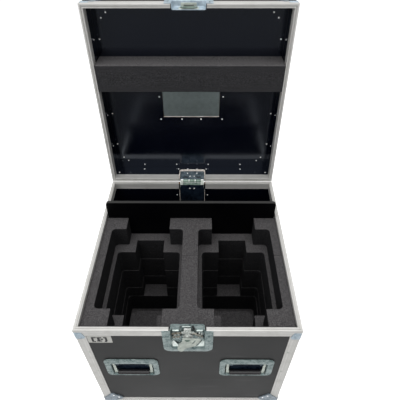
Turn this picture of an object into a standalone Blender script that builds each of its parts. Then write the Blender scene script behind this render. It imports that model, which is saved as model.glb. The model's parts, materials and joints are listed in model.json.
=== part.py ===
"""Flight case for two moving head lights, with its hinged lid open.

Frame: +Z up, +X to the right as seen from the front, -Y is the front.
The origin is on the floor, at the bottom centre of the whole object.
"""
import math

import bmesh
import bpy
from mathutils import Matrix, Vector

# ---- driving dimensions, in metres --------------------------------------
CASE_W = 0.640            # outside width over the extrusions
CASE_D = 0.646            # outside depth over the extrusions
BASE_H = 0.533            # underside of the base to the rim
LID_H = 0.097             # rim to the top of the lid
CASTOR_H = 0.125          # floor to the underside of the base
LID_OPEN = math.radians(91.83)

PLY = 0.009               # plywood panels
SKIN = 0.0015             # wall of the edge extrusions
GAP = 0.00025             # clearance between pieces that touch
LEG = 0.0305              # leg of the edge extrusions
SHEET = 0.0012            # pressed steel of dishes and caps
PARTING = 0.0004          # each rim stands this far back from the parting plane
TONGUE = 0.0018           # ridge on the base rim that enters the lid rim

FOAM_TOP = -0.013         # levels of the foam, measured from the rim
FOAM_LEDGE = -0.098
FOAM_SHELF = -0.382
TRENCH_FLOOR = -0.482
FOAM_FRONT = 0.030        # front of the lower blocks, from the case front
DIVIDER_FRONT = 0.4515    # front of the divider, from the case front
DIVIDER_T = 0.012
DIVIDER_HALF_W = 0.303
DIVIDER_RISE = 0.061      # how far the divider stands above the rim

OPENING_HALF = 0.053      # half width of the gaps in the rims at latch and hinge
DISH_HALF = 0.0485        # half width of the latch and hinge recesses
LATCH_HUB_Z = -0.047      # hub of the butterfly latch, below the rim
LATCH_REST_TURN = math.radians(3)
WING_PIVOT_DEPTH = 0.0005
WING_REACH = 0.0495
WING_HALF_T = 0.0011
WING_LIFT = math.radians(18)   # the wing is pulled a little out of the dish
HOOK_PIVOT_DEPTH = 0.0077
HOOK_PIVOT_Z = -0.027
HOOK_TILT = math.radians(12)   # the hook leans out of the dish while unlatched

HANDLE_X = 0.1825         # centre of each handle dish from the case centre
HANDLE_PIVOT_Z = -0.222
HANDLE_PIVOT_DEPTH = 0.005
BAIL_DROP = 0.0590
BAIL_HALF_W = 0.061
GRIP_RADIUS = 0.0075

WHEEL_RADIUS = 0.050
WHEEL_HALF_W = 0.016
CASTOR_INSET = 0.100      # swivel axis from the outside of the case
CASTOR_TRAIL = 0.030

HALF_W = CASE_W / 2
HALF_D = CASE_D / 2
RIM_Z = CASTOR_H + BASE_H
PLY_OUT = SKIN + GAP                  # outside of the case to the plywood
PLY_IN = PLY_OUT + PLY                # outside of the case to the inner face
RIM_IN = PLY_IN + GAP + 0.001         # outside of the case to the rim's inner leg
BALL_PROUD = 0.0022                   # ball corners stand this far off the extrusions
LEAF_FOOT = 0.028                     # ball corner leaves: width at the fold
LEAF_SHOULDER = 0.034
LEAF_REACH = 0.076

# The lid leans back and the latch wing stands out, so the case is not at the object's centre.
REAR_REACH = LID_H + BALL_PROUD + (CASE_D + BALL_PROUD) * abs(math.cos(LID_OPEN))
FRONT_REACH = WING_REACH * math.sin(WING_LIFT) + WING_HALF_T * math.cos(WING_LIFT) - WING_PIVOT_DEPTH
CENTRE_SHIFT = -(REAR_REACH - FRONT_REACH) / 2


# ---- scene helpers ---------------------------------------------------------
def clear_scene():
    for item in list(bpy.data.objects):
        bpy.data.objects.remove(item, do_unlink=True)


def material(name, colour, roughness, metallic=0.0):
    mat = bpy.data.materials.new(name)
    mat.use_nodes = True
    shader = mat.node_tree.nodes["Principled BSDF"]
    shader.inputs["Base Color"].default_value = (*colour, 1.0)
    shader.inputs["Roughness"].default_value = roughness
    shader.inputs["Metallic"].default_value = metallic
    return mat


def empty(name, parent, location, rotation=(0, 0, 0)):
    item = bpy.data.objects.new(name, None)
    bpy.context.scene.collection.objects.link(item)
    item.parent = parent
    item.location = location
    item.rotation_euler = rotation
    return item


def add(name, bm, mat, parent, location=(0, 0, 0), rotation=(0, 0, 0), smooth=False):
    """Turns a bmesh into a named object with outward faces."""
    bmesh.ops.recalc_face_normals(bm, faces=bm.faces)
    mesh = bpy.data.meshes.new(name)
    bm.to_mesh(mesh)
    bm.free()
    return add_mesh(name, mesh, mat, parent, location, rotation, smooth)


def add_mesh(name, mesh, mat, parent, location=(0, 0, 0), rotation=(0, 0, 0), smooth=False):
    if not mesh.materials:
        mesh.materials.append(mat)
    if smooth:
        mesh.shade_smooth()
        mesh.set_sharp_from_angle(angle=math.radians(30))
    item = bpy.data.objects.new(name, mesh)
    bpy.context.scene.collection.objects.link(item)
    item.parent = parent
    item.location = location
    item.rotation_euler = rotation
    return item


def as_tool(item):
    item.hide_render = True
    item.display_type = "WIRE"
    return item


def combine(target, tool, operation):
    """Cuts the tool from the target, or joins it on, with a Boolean modifier."""
    mod = target.modifiers.new(operation.lower(), "BOOLEAN")
    mod.operation = operation
    mod.solver = "EXACT"
    mod.object = as_tool(tool)


def baked(item):
    """Returns the mesh of an object with its modifiers worked in, and removes it."""
    tools = [mod.object for mod in item.modifiers if mod.type == "BOOLEAN"]
    bpy.context.view_layer.update()
    graph = bpy.context.evaluated_depsgraph_get()
    mesh = bpy.data.meshes.new_from_object(item.evaluated_get(graph))
    for old in [item, *tools]:
        bpy.data.objects.remove(old, do_unlink=True)
    return mesh


# ---- shape helpers ---------------------------------------------------------
def rounded(points, radius, segments=3):
    """Replaces each corner of an outline by an arc; radius 0 keeps it sharp."""
    radii = radius if isinstance(radius, (list, tuple)) else [radius] * len(points)
    outline = []
    for i, point in enumerate(points):
        corner = Vector(point)
        if radii[i] == 0:
            outline.append(corner)
            continue
        to_last = (Vector(points[i - 1]) - corner).normalized()
        to_next = (Vector(points[(i + 1) % len(points)]) - corner).normalized()
        half = to_last.angle(to_next) / 2
        centre = corner + (to_last + to_next).normalized() * radii[i] / math.sin(half)
        start = corner + to_last * radii[i] / math.tan(half) - centre
        end = corner + to_next * radii[i] / math.tan(half) - centre
        turn = math.copysign(math.pi - 2 * half, start.cross(end))
        for step in range(segments + 1):
            outline.append(centre + Matrix.Rotation(turn * step / segments, 2) @ start)
    return outline


def rectangle(x0, y0, x1, y1, radius=0.0, segments=3):
    return rounded([(x0, y0), (x1, y0), (x1, y1), (x0, y1)], radius, segments)


def circle(radius, sides):
    angles = [2 * math.pi * i / sides for i in range(sides)]
    return [Vector((radius * math.cos(a), radius * math.sin(a))) for a in angles]


def flat_sided_circle(radius, sides):
    """A polygon whose flats lie on the radius, with one flat facing straight down."""
    turn = Matrix.Rotation(math.pi / sides, 2)
    return [turn @ p for p in circle(radius / math.cos(math.pi / sides), sides)]


def placed(point, axis, along):
    u, v = point
    return {"X": (along, u, v), "Y": (u, along, v), "Z": (u, v, along)}[axis]


def loft(loops):
    """One closed body through a chain of equal loops, filled at both ends."""
    bm = bmesh.new()
    rings = [[bm.verts.new(p) for p in loop] for loop in loops]
    for first, second in zip(rings, rings[1:]):
        for i in range(len(first)):
            j = (i + 1) % len(first)
            bm.faces.new((first[i], first[j], second[j], second[i]))
    bm.faces.new(rings[0])
    bm.faces.new(rings[-1])
    return bm


def prism(outline, axis, start, end):
    return loft([[placed(p, axis, along) for p in outline] for along in (start, end)])


def block(low, high):
    return prism(rectangle(low[0], low[1], high[0], high[1]), "Z", low[2], high[2])


def ring_body(loops):
    """A closed body through loops whose last joins the first again."""
    bm = bmesh.new()
    rings = [[bm.verts.new(p) for p in loop] for loop in loops]
    for n, first in enumerate(rings):
        second = rings[(n + 1) % len(rings)]
        for i in range(len(first)):
            j = (i + 1) % len(first)
            bm.faces.new((first[i], first[j], second[j], second[i]))
    return bm


def mitred_ring(profile):
    """Sweeps a profile of (inset, height) round the case, mitred at its corners."""
    return ring_body([
        [(sx * (HALF_W - inset), sy * (HALF_D - inset), height)
         for sx, sy in ((-1, -1), (1, -1), (1, 1), (-1, 1))]
        for inset, height in profile])


def mitred_half(profile, side):
    """The same sweep on one side only, from the front gap round to the rear gap."""
    loops = []
    for sy, at_corner in ((-1, False), (-1, True), (1, True), (1, False)):
        loops.append([
            (side * (HALF_W - inset if at_corner else OPENING_HALF), sy * (HALF_D - inset), height)
            for inset, height in profile])
    return loft(loops)


def sweep(path, radii, sides=8):
    """A rod of changing radius along a path that lies in the XZ plane."""
    loops = []
    for i, point in enumerate(path):
        ahead = path[min(i + 1, len(path) - 1)] - path[max(i - 1, 0)]
        across = Vector((-ahead.z, 0, ahead.x)).normalized()
        loops.append([point + across * p.x + Vector((0, p.y, 0))
                      for p in circle(radii[i], sides)])
    return loft(loops)


def pressed_dish(flange, opening, depth, draft=0.0015, flange_radius=0.016, radius=0.007):
    """Sheet-steel dish: x across, z up, y into the case, flange outside the case face."""
    def loop(box, grow, y, corner):
        x0, z0, x1, z1 = box
        outline = rectangle(x0 - grow, z0 - grow, x1 + grow, z1 + grow, corner)
        return [(p.x, y, p.y) for p in outline]
    front = -GAP - SHEET
    return loft([
        loop(opening, -draft, depth - SHEET, radius),
        loop(opening, 0, front, radius),
        loop(flange, 0, front, flange_radius),
        loop(flange, 0, front + SHEET, flange_radius),
        loop(opening, SHEET, front + SHEET, radius + SHEET),
        loop(opening, SHEET - draft, depth, radius + SHEET)])


# ---- materials -------------------------------------------------------------
def make_materials():
    return {
        "laminate": material("laminate", (0.075, 0.075, 0.078), 0.45),
        "aluminium": material("aluminium", (0.78, 0.78, 0.78), 0.32, 1.0),
        "zinc": material("zinc", (0.60, 0.68, 0.68), 0.30, 1.0),
        "foam": material("foam", (0.070, 0.070, 0.074), 0.95),
        "rubber": material("rubber", (0.02, 0.02, 0.022), 0.6),
        "wheel": material("wheel", (0.10, 0.13, 0.17), 0.5),
    }


# ---- base shell ------------------------------------------------------------
def base_panels(frame, mats):
    low = CASTOR_H + PLY_OUT
    high = RIM_Z - 0.0043
    outer_x = HALF_W - PLY_OUT
    outer_y = HALF_D - PLY_OUT
    inner_x = HALF_W - PLY_IN
    inner_y = HALF_D - PLY_IN
    for name, sign in (("front", -1), ("rear", 1)):
        near, far = sorted((sign * outer_y, sign * inner_y))
        panel = add(f"base_{name}_panel", block((-outer_x, near, low), (outer_x, far, high)),
                    mats["laminate"], frame)
        for side in (-1, 1):
            hole = rectangle(side * HANDLE_X - 0.0690, RIM_Z - 0.2930,
                             side * HANDLE_X + 0.0690, RIM_Z - 0.2105, 0.008)
            combine(panel, add(f"{name}_handle_hole_{side}", prism(hole, "Y", near - 0.01, far + 0.01),
                               mats["laminate"], frame), "DIFFERENCE")
        hole = rectangle(-0.0505, RIM_Z - 0.1015, 0.0505, RIM_Z + 0.02, 0.006)
        combine(panel, add(f"{name}_dish_hole", prism(hole, "Y", near - 0.01, far + 0.01),
                           mats["laminate"], frame), "DIFFERENCE")
    for name, sign in (("left", -1), ("right", 1)):
        near, far = sorted((sign * outer_x, sign * inner_x))
        add(f"base_{name}_panel", block((near, -inner_y + GAP, low), (far, inner_y - GAP, high)),
            mats["laminate"], frame)
    add("base_bottom_panel", block((-inner_x + GAP, -inner_y + GAP, low),
                                   (inner_x - GAP, inner_y - GAP, low + PLY)),
        mats["laminate"], frame)


def rim_profile(direction, ridge):
    """Channel over the plywood edge; ridge > 0 is a tongue, ridge < 0 a groove."""
    lip = 0.0017 if ridge > 0 else 0.0022
    centre = 0.0070
    web = 0.0015
    edge = PARTING
    points = [(0, LEG), (0, edge + 0.001), (0.001, edge), (centre - lip, edge),
              (centre - lip + 0.0003, edge - ridge), (centre + lip - 0.0003, edge - ridge),
              (centre + lip, edge), (RIM_IN, edge), (RIM_IN, LEG), (RIM_IN - 0.001, LEG),
              (RIM_IN - 0.001, edge + web + max(0, -ridge)), (SKIN, edge + web + max(0, -ridge)),
              (SKIN, LEG)]
    return [(inset, direction * height) for inset, height in points]


def base_rim(frame, mats):
    profile = [(inset, RIM_Z + h) for inset, h in rim_profile(-1, TONGUE)]
    for name, side in (("left", -1), ("right", 1)):
        add(f"base_rim_{name}", mitred_half(profile, side), mats["aluminium"], frame)


def corner_edges(frame, mats):
    """Upright angles at the four corners, between the rim and the bottom frame."""
    outline = rounded([(0, 0), (LEG, 0), (LEG, SKIN), (SKIN, SKIN), (SKIN, LEG), (0, LEG)],
                      [0.003, 0, 0, 0, 0, 0], 3)
    low = CASTOR_H + LEG + GAP
    high = RIM_Z - LEG - GAP
    for y_name, sy in (("front", -1), ("rear", 1)):
        for x_name, sx in (("left", -1), ("right", 1)):
            corner = [(sx * (HALF_W - p.x), sy * (HALF_D - p.y)) for p in outline]
            add(f"base_edge_{y_name}_{x_name}", prism(corner, "Z", low, high),
                mats["aluminium"], frame)


def angle_frame(height, direction):
    """Angle profile for a frame along the bottom of the base or the top of the lid."""
    return [(inset, height + direction * rise) for inset, rise in (
        (0, LEG), (0, 0.002), (0.0006, 0.0006), (0.002, 0), (LEG, 0), (LEG, SKIN),
        (SKIN, SKIN), (SKIN, LEG))]


def ball_corner_mesh(mats, frame):
    """Steel corner cap with three wide leaves, made at the corner (0, 0, 0) facing +X +Y +Z."""
    off = BALL_PROUD
    leaf = rounded([(off, off), (-LEAF_FOOT, off), (-LEAF_REACH, -LEAF_SHOULDER),
                    (-LEAF_SHOULDER, -LEAF_REACH), (off, -LEAF_FOOT)], [0, 0, 0.009, 0.009, 0], 3)
    shell = None
    for axis in "XYZ":
        plate = add(f"ball_leaf_{axis}", prism(leaf, axis, GAP, off), mats["zinc"], frame)
        if shell is None:
            shell = plate
        else:
            combine(shell, plate, "UNION")
    limit = add("ball_limit", block((-0.1, -0.1, -0.1), (off, off, off)), mats["zinc"], frame)
    bevel = limit.modifiers.new("round", "BEVEL")
    bevel.width = 0.005
    bevel.segments = 2
    bevel.limit_method = "NONE"
    combine(shell, limit, "INTERSECT")
    return baked(shell)


def ball_corners(frame, lid, mats):
    mesh = ball_corner_mesh(mats, frame)
    quarter = math.pi / 2
    for y_name, x_name, turn, sx, sy in (("rear", "right", 0, 1, 1), ("rear", "left", 1, -1, 1),
                                         ("front", "left", 2, -1, -1), ("front", "right", 3, 1, -1)):
        add_mesh(f"lid_ball_corner_{y_name}_{x_name}", mesh, mats["zinc"], lid,
                 (sx * HALF_W, sy * HALF_D - HALF_D, LID_H), (0, 0, turn * quarter))
        flipped = (math.pi, 0, (turn + 1) * quarter)
        add_mesh(f"base_ball_corner_{y_name}_{x_name}", mesh, mats["zinc"], frame,
                 (sx * HALF_W, sy * HALF_D, CASTOR_H), flipped)


# ---- foam and divider ------------------------------------------------------
def cavity_outline(outer_x, inner_x, rear, front, notches, radius):
    """Right-hand lamp cavity; notches are (x0, x1, y) at the front and the rear."""
    (fx0, fx1, fy), (rx0, rx1, ry) = notches
    points = [(inner_x, front), (fx0, front), (fx0, fy), (fx1, fy), (fx1, front), (outer_x, front),
              (outer_x, rear), (rx1, rear), (rx1, ry), (rx0, ry), (rx0, rear), (inner_x, rear)]
    radii = [radius, 0, 0, 0, 0, radius, radius, 0, 0, 0, 0, radius]
    return rounded(points, radii, 3)


def to_side(outline, side):
    """Mirrors an outline measured from the case front to one side of the case."""
    return [(side * p[0], p[1] - HALF_D) for p in outline]


def foam_blocks(frame, mats):
    half_w = HALF_W - RIM_IN - GAP
    rear = DIVIDER_FRONT - GAP
    top = prism([(p[0], p[1] - HALF_D) for p in rectangle(-half_w, RIM_IN + GAP, half_w, rear)],
                "Z", RIM_Z + FOAM_LEDGE + GAP, RIM_Z + FOAM_TOP)
    top_sheet = add("foam_top_sheet", top, mats["foam"], frame)
    lower_w = HALF_W - PLY_IN - GAP
    sides = rectangle(-lower_w, FOAM_FRONT, lower_w, rear)
    middle = add("foam_middle_block", prism([(p[0], p[1] - HALF_D) for p in sides], "Z",
                                            RIM_Z + FOAM_SHELF + GAP, RIM_Z + FOAM_LEDGE),
                 mats["foam"], frame)
    floor = CASTOR_H + PLY_IN + GAP
    bottom = add("foam_bottom_block", prism([(p[0], p[1] - HALF_D) for p in sides], "Z",
                                            floor, RIM_Z + FOAM_SHELF), mats["foam"], frame)
    upper_hole = cavity_outline(0.2795, 0.027, 0.395, 0.077,
                                ((0.076, 0.2295, 0.0215), (0.076, 0.2295, rear + 0.01)), 0.013)
    lower_hole = cavity_outline(0.2665, 0.0405, 0.3590, 0.1045,
                                ((0.1005, 0.2055, 0.0480), (0.1015, 0.2025, 0.4160)), 0.012)
    trench = rounded([(0.0405, 0.1045), (0.0630, 0.1045), (0.0630, 0.2875), (0.2440, 0.2875),
                      (0.2440, 0.1045), (0.2665, 0.1045), (0.2665, 0.3590), (0.0405, 0.3590)],
                     [0, 0, 0.026, 0.026, 0, 0, 0.012, 0.012], 4)
    for side in (-1, 1):
        for block_item, outline, low, high in (
                (top_sheet, upper_hole, FOAM_LEDGE - 0.01, FOAM_TOP + 0.01),
                (middle, lower_hole, FOAM_SHELF - 0.01, FOAM_LEDGE + 0.01),
                (bottom, trench, TRENCH_FLOOR, FOAM_SHELF + 0.01)):
            cutter = prism(to_side(outline, side), "Z", RIM_Z + low, RIM_Z + high)
            combine(block_item, add(f"{block_item.name}_hole_{side}", cutter, mats["foam"], frame),
                    "DIFFERENCE")
    latch_pocket = block((-0.056, -HALF_D, RIM_Z - 0.2), (0.056, -HALF_D + 0.0175, RIM_Z + 0.02))
    combine(top_sheet, add("latch_pocket", latch_pocket, mats["foam"], frame), "DIFFERENCE")


def divider(frame, mats):
    floor = CASTOR_H + PLY_IN + GAP
    outline = rounded([(-DIVIDER_HALF_W, floor), (DIVIDER_HALF_W, floor),
                       (DIVIDER_HALF_W, RIM_Z + DIVIDER_RISE),
                       (-DIVIDER_HALF_W, RIM_Z + DIVIDER_RISE)], [0, 0, 0.012, 0.012], 4)
    front = DIVIDER_FRONT - HALF_D
    add("divider_panel", prism(outline, "Y", front, front + DIVIDER_T), mats["laminate"], frame)


# ---- lid -------------------------------------------------------------------
# Lid pieces are drawn as if the lid were shut, from the hinge line: the front is at
# y = -CASE_D and the top at z = LID_H. The parent empty opens it.
def lid_panels(lid, mats):
    high = LID_H - PLY_OUT
    low = 0.0043 + 0.0008
    outer_x = HALF_W - PLY_OUT
    inner_x = HALF_W - PLY_IN
    front_faces = (-CASE_D + PLY_OUT, -CASE_D + PLY_IN)
    rear_faces = (-PLY_IN, -PLY_OUT)
    cuts = {"front": (0.0525, 0.0345), "rear": (0.0530, 0.0635)}
    for name, (near, far) in (("front", front_faces), ("rear", rear_faces)):
        panel = add(f"lid_{name}_panel", block((-outer_x, near, low), (outer_x, far, high)),
                    mats["laminate"], lid)
        half, top = cuts[name]
        hole = prism(rectangle(-half, -0.02, half, top, 0.008), "Y", near - 0.01, far + 0.01)
        combine(panel, add(f"lid_{name}_hole", hole, mats["laminate"], lid), "DIFFERENCE")
    for name, sign in (("left", -1), ("right", 1)):
        near, far = sorted((sign * outer_x, sign * inner_x))
        add(f"lid_{name}_panel", block((near, -CASE_D + PLY_IN + GAP, low), (far, -PLY_IN - GAP, high)),
            mats["laminate"], lid)
    top = add("lid_top_panel", block((-inner_x + GAP, -CASE_D + PLY_IN + GAP, high - PLY),
                                     (inner_x - GAP, -PLY_IN - GAP, high)), mats["laminate"], lid)
    hole = prism(rectangle(-0.1050, -0.4010, 0.1050, -0.2420, 0.009), "Z", high - 0.02, high + 0.01)
    combine(top, add("label_hole", hole, mats["laminate"], lid), "DIFFERENCE")


def lid_frames(lid, mats):
    rim = rim_profile(1, -0.0026)
    for name, side in (("left", -1), ("right", 1)):
        bm = mitred_half(rim, side)
        bmesh.ops.translate(bm, vec=(0, -HALF_D, 0), verts=bm.verts)
        add(f"lid_rim_{name}", bm, mats["aluminium"], lid)
    bm = mitred_ring(angle_frame(LID_H, -1))
    bmesh.ops.translate(bm, vec=(0, -HALF_D, 0), verts=bm.verts)
    add("lid_top_frame", bm, mats["aluminium"], lid)


def lid_fittings(lid, mats):
    half_w = HALF_W - RIM_IN - GAP
    ceiling = LID_H - PLY_IN - GAP
    bar = add("lid_foam_bar", block((-half_w, -0.4665, 0.0005), (half_w, -0.3780, ceiling)),
              mats["foam"], lid)
    notch = block((-0.1115, -0.4050, LID_H - 0.0165), (0.1115, -0.36, LID_H))
    combine(bar, add("bar_notch", notch, mats["foam"], lid), "DIFFERENCE")
    label = pressed_dish((-0.1225, -0.0955, 0.1225, 0.0955), (-0.1032, -0.0772, 0.1032, 0.0772),
                         0.0150)
    add("label_dish", label, mats["zinc"], lid, (0, -0.3210, LID_H), (-math.pi / 2, 0, 0))
    keeper = pressed_dish((-0.0725, -0.062, 0.0725, 0.062), (-0.0505, -0.033, 0.0505, 0.033),
                          0.0170, flange_radius=0.022)
    dish = add("latch_keeper_dish", keeper, mats["zinc"], lid, (0, -CASE_D, 0))
    cut_half(dish, lid, mats, (0, -CASE_D, 0), below=PARTING)
    bracket = prism([(0.0165, 0.0180), (0.0112, 0.0180), (0.0112, 0.0055), (0.0098, 0.0055),
                     (0.0098, 0.0035), (0.0124, 0.0035), (0.0124, 0.0165), (0.0165, 0.0165)],
                    "X", -0.018, 0.018)
    combine(dish, add("keeper_bracket", bracket, mats["zinc"], lid, (0, -CASE_D, 0)), "UNION")


def cut_half(dish, parent, mats, location, below=None, above=None, turn=(0, 0, 0)):
    """Cuts a dish off at the parting plane, so that its recess is open there."""
    low, high = (-0.3, below) if below is not None else (above, 0.3)
    tool = add(f"{dish.name}_cut", block((-0.3, -0.05, low), (0.3, 0.05, high)), mats["zinc"],
               parent, location, turn)
    combine(dish, tool, "DIFFERENCE")


# ---- latch -----------------------------------------------------------------
def latch(frame, mats):
    place = (0, -HALF_D, RIM_Z)
    dish = add("latch_dish", pressed_dish((-0.0725, -0.122, 0.0725, 0.122),
                                          (-DISH_HALF, -0.099, DISH_HALF, 0.099), 0.0140,
                                          flange_radius=0.022), mats["zinc"], frame, place)
    cut_half(dish, frame, mats, place, above=-PARTING)
    tab = prism(rectangle(-0.0482, -0.030, 0.0482, 0.013, 0.006), "Y", 0.0130, 0.0139)
    combine(dish, add("latch_tab", tab, mats["zinc"], frame, place), "UNION")

    hub = empty("latch_hub", frame, (0, -HALF_D, RIM_Z + LATCH_HUB_Z), (0, LATCH_REST_TURN, 0))
    stack = ((0.0150, 0.0120), (0.0150, 0.0062), (0.0125, 0.0048), (0.0070, 0.0048), (0.0070, 0.0026))
    cam = loft([[placed(p, "Y", y) for p in circle(r, 20)] for r, y in stack])
    add("latch_cam", cam, mats["zinc"], hub, smooth=True)
    eye = [(-0.025, -0.021), (-0.028, -0.033), (-0.028, -0.042), (-0.022, -WING_REACH),
           (-0.0125, -WING_REACH), (-0.009, -0.043), (-0.006, -0.0385)]
    wing = [(-0.015, 0.0012), (-0.016, -0.012), *eye, (0.009, -0.032), (0.024, -0.0245),
            (0.0325, -0.014), (0.0375, -0.005), (0.037, 0.0012)]
    outline = rounded(wing, [0.001] + [0.002] * 13, 2)
    add("latch_wing", prism(outline, "Y", -WING_HALF_T, WING_HALF_T), mats["zinc"], hub,
        (0, WING_PIVOT_DEPTH, 0), (-WING_LIFT, 0, 0))
    pivot = (0, -HALF_D + HOOK_PIVOT_DEPTH, RIM_Z + HOOK_PIVOT_Z)
    half_t = 0.0010
    profile = [(-half_t, -0.004), (half_t, -0.004), (half_t, 0.0330), (0.0032, 0.0330),
               (0.0032, 0.0350), (-half_t, 0.0350)]
    add("latch_hook", prism(profile, "X", -0.010, 0.010), mats["zinc"], frame, pivot,
        (HOOK_TILT, 0, 0))


# ---- lid hinge -------------------------------------------------------------
def lug_outline(reach, drop):
    """Round eye at (0, 0) running into a foot; u is depth into the case, v is height."""
    eye = 0.0045
    arc = [Vector((eye * math.cos(a), eye * math.sin(a)))
           for a in (math.pi * (0.25 + i / 8) for i in range(9))]
    return [*arc, Vector((0.0, -drop)), Vector((reach, -drop)), Vector((reach, -0.0015))]


def hinge(frame, lid, mats):
    place = (0, HALF_D, RIM_Z)
    turn = (0, 0, math.pi)
    dish = add("hinge_dish_base", pressed_dish((-0.0725, -0.122, 0.0725, 0.122),
                                               (-DISH_HALF, -0.099, DISH_HALF, 0.099), 0.0205,
                                               flange_radius=0.022), mats["zinc"], frame, place, turn)
    cut_half(dish, frame, mats, place, above=-0.0030, turn=turn)
    for side in (-1, 1):
        ends = sorted((side * 0.0362, side * 0.0472))
        lug = prism(lug_outline(0.0200, 0.016), "X", *ends)
        combine(dish, add(f"base_lug_{side}", lug, mats["zinc"], frame, place, turn), "UNION")
    bore = prism(circle(0.0024, 16), "X", -0.06, 0.06)
    combine(dish, add("base_bore", bore, mats["zinc"], frame, place, turn), "DIFFERENCE")

    plate = add("hinge_dish_lid", pressed_dish((-0.0725, -0.090, 0.0725, 0.090),
                                               (-DISH_HALF, -0.0600, DISH_HALF, 0.0600), 0.0080,
                                               flange_radius=0.022), mats["zinc"], lid, (0, 0, 0), turn)
    cut_half(plate, lid, mats, (0, 0, 0), below=0.0030, turn=turn)
    lug = prism([(p.x, -p.y) for p in lug_outline(0.0075, 0.014)], "X", -0.0358, 0.0358)
    combine(plate, add("lid_lug", lug, mats["zinc"], lid, (0, 0, 0), turn), "UNION")
    bore = prism(circle(0.0024, 16), "X", -0.06, 0.06)
    combine(plate, add("lid_bore", bore, mats["zinc"], lid), "DIFFERENCE")
    pin = prism(circle(0.0021, 12), "X", -0.0474, 0.0474)
    add("hinge_pin", pin, mats["zinc"], frame, place, smooth=True)


# ---- handles ---------------------------------------------------------------
def bail_path():
    """Down one arm, along the grip and up the other arm, with the pivots at z = 0."""
    bend = 0.008
    arm = BAIL_HALF_W
    path = [Vector((-arm, 0, 0.004)), Vector((-arm, 0, bend - BAIL_DROP))]
    radii = [0.003, 0.003]
    for step in range(1, 4):
        angle = math.pi + step * math.pi / 8
        path.append(Vector((-arm + bend + bend * math.cos(angle), 0,
                            bend - BAIL_DROP + bend * math.sin(angle))))
        radii.append(0.003)
    path += [Vector((-0.0515, 0, -BAIL_DROP)), Vector((-0.0510, 0, -BAIL_DROP))]
    radii += [0.003, GRIP_RADIUS]
    mirrored = [Vector((-p.x, 0, p.z)) for p in reversed(path)]
    return path + mirrored, radii + radii[::-1]


def handles(frame, mats):
    path, radii = bail_path()
    for y_name, sy, turn in (("front", -1, 0.0), ("rear", 1, math.pi)):
        for x_name, sx in (("left", -1), ("right", 1)):
            place = (sx * HANDLE_X, sy * HALF_D, RIM_Z)
            dish = pressed_dish((-0.0855, -0.297, 0.0855, -0.179), (-0.067, -0.2905, 0.067, -0.213),
                                0.0160)
            add(f"handle_dish_{y_name}_{x_name}", dish, mats["zinc"], frame, place, (0, 0, turn))
            pivot = (sx * HANDLE_X, sy * (HALF_D - HANDLE_PIVOT_DEPTH), RIM_Z + HANDLE_PIVOT_Z)
            add(f"handle_bail_{y_name}_{x_name}", sweep(path, radii), mats["rubber"], frame,
                pivot, (0, 0, turn), smooth=True)


# ---- castors ---------------------------------------------------------------
def wheel_mesh():
    """Turned wheel with a hub, a web and a rounded tread, on the X axis."""
    half = WHEEL_HALF_W
    tyre = WHEEL_RADIUS
    profile = [(0.0065, -half - 0.002), (0.0130, -half - 0.002), (0.0150, -0.0070),
               (0.0350, -0.0070), (0.0370, -half + 0.001), (tyre - 0.003, -half), (tyre, -half + 0.003),
               (tyre, half - 0.003), (tyre - 0.003, half), (0.0370, half - 0.001), (0.0350, 0.0070),
               (0.0150, 0.0070), (0.0130, half + 0.002), (0.0065, half + 0.002)]
    return ring_body([[placed(p, "X", x) for p in flat_sided_circle(radius, 28)]
                      for radius, x in profile])


def fork_parts(mats, frame):
    """Crown, two cheeks and the axle as one body; the swivel axis is x = y = 0."""
    top = CASTOR_H - 0.0038
    crown_low = WHEEL_RADIUS * 2 + 0.006
    crown = prism(circle(0.031, 20), "Z", crown_low, top)
    fork = add("fork_crown", crown, mats["zinc"], frame)
    for side in (-1, 1):
        inner = side * 0.0215
        outline = rounded([(-0.022, crown_low + 0.006), (CASTOR_TRAIL - 0.014, WHEEL_RADIUS - 0.013),
                           (CASTOR_TRAIL + 0.014, WHEEL_RADIUS - 0.013), (0.026, crown_low + 0.006)],
                          [0, 0.012, 0.012, 0], 3)
        cheek = prism(outline, "X", *sorted((inner, inner + side * 0.003)))
        combine(fork, add(f"fork_cheek_{side}", cheek, mats["zinc"], frame), "UNION")
    axle = prism(circle(0.0058, 12), "X", -0.0285, 0.0285)
    combine(fork, add("fork_axle", axle, mats["zinc"], frame, (0, CASTOR_TRAIL, WHEEL_RADIUS)),
            "UNION")
    return baked(fork)


def castors(frame, mats):
    fork_mesh = fork_parts(mats, frame)
    for y_name, sy in (("front", -1), ("rear", 1)):
        for x_name, sx in (("left", -1), ("right", 1)):
            where = (sx * (HALF_W - CASTOR_INSET), sy * (HALF_D - CASTOR_INSET))
            add_mesh(f"castor_fork_{y_name}_{x_name}", fork_mesh, mats["zinc"], frame, (*where, 0))
            add(f"castor_wheel_{y_name}_{x_name}", wheel_mesh(), mats["wheel"], frame,
                (where[0], where[1] + CASTOR_TRAIL, WHEEL_RADIUS), smooth=True)
            if y_name == "front":
                pedal = prism([(-0.003, 0.004), (0.003, 0.004), (0.044, -0.009), (0.044, -0.012),
                               (0.040, -0.012), (-0.003, -0.003)], "X", -0.014, 0.014)
                add(f"castor_brake_{x_name}", pedal, mats["rubber"], frame,
                    (where[0], where[1] + 0.037, WHEEL_RADIUS * 2 + 0.013))


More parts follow.
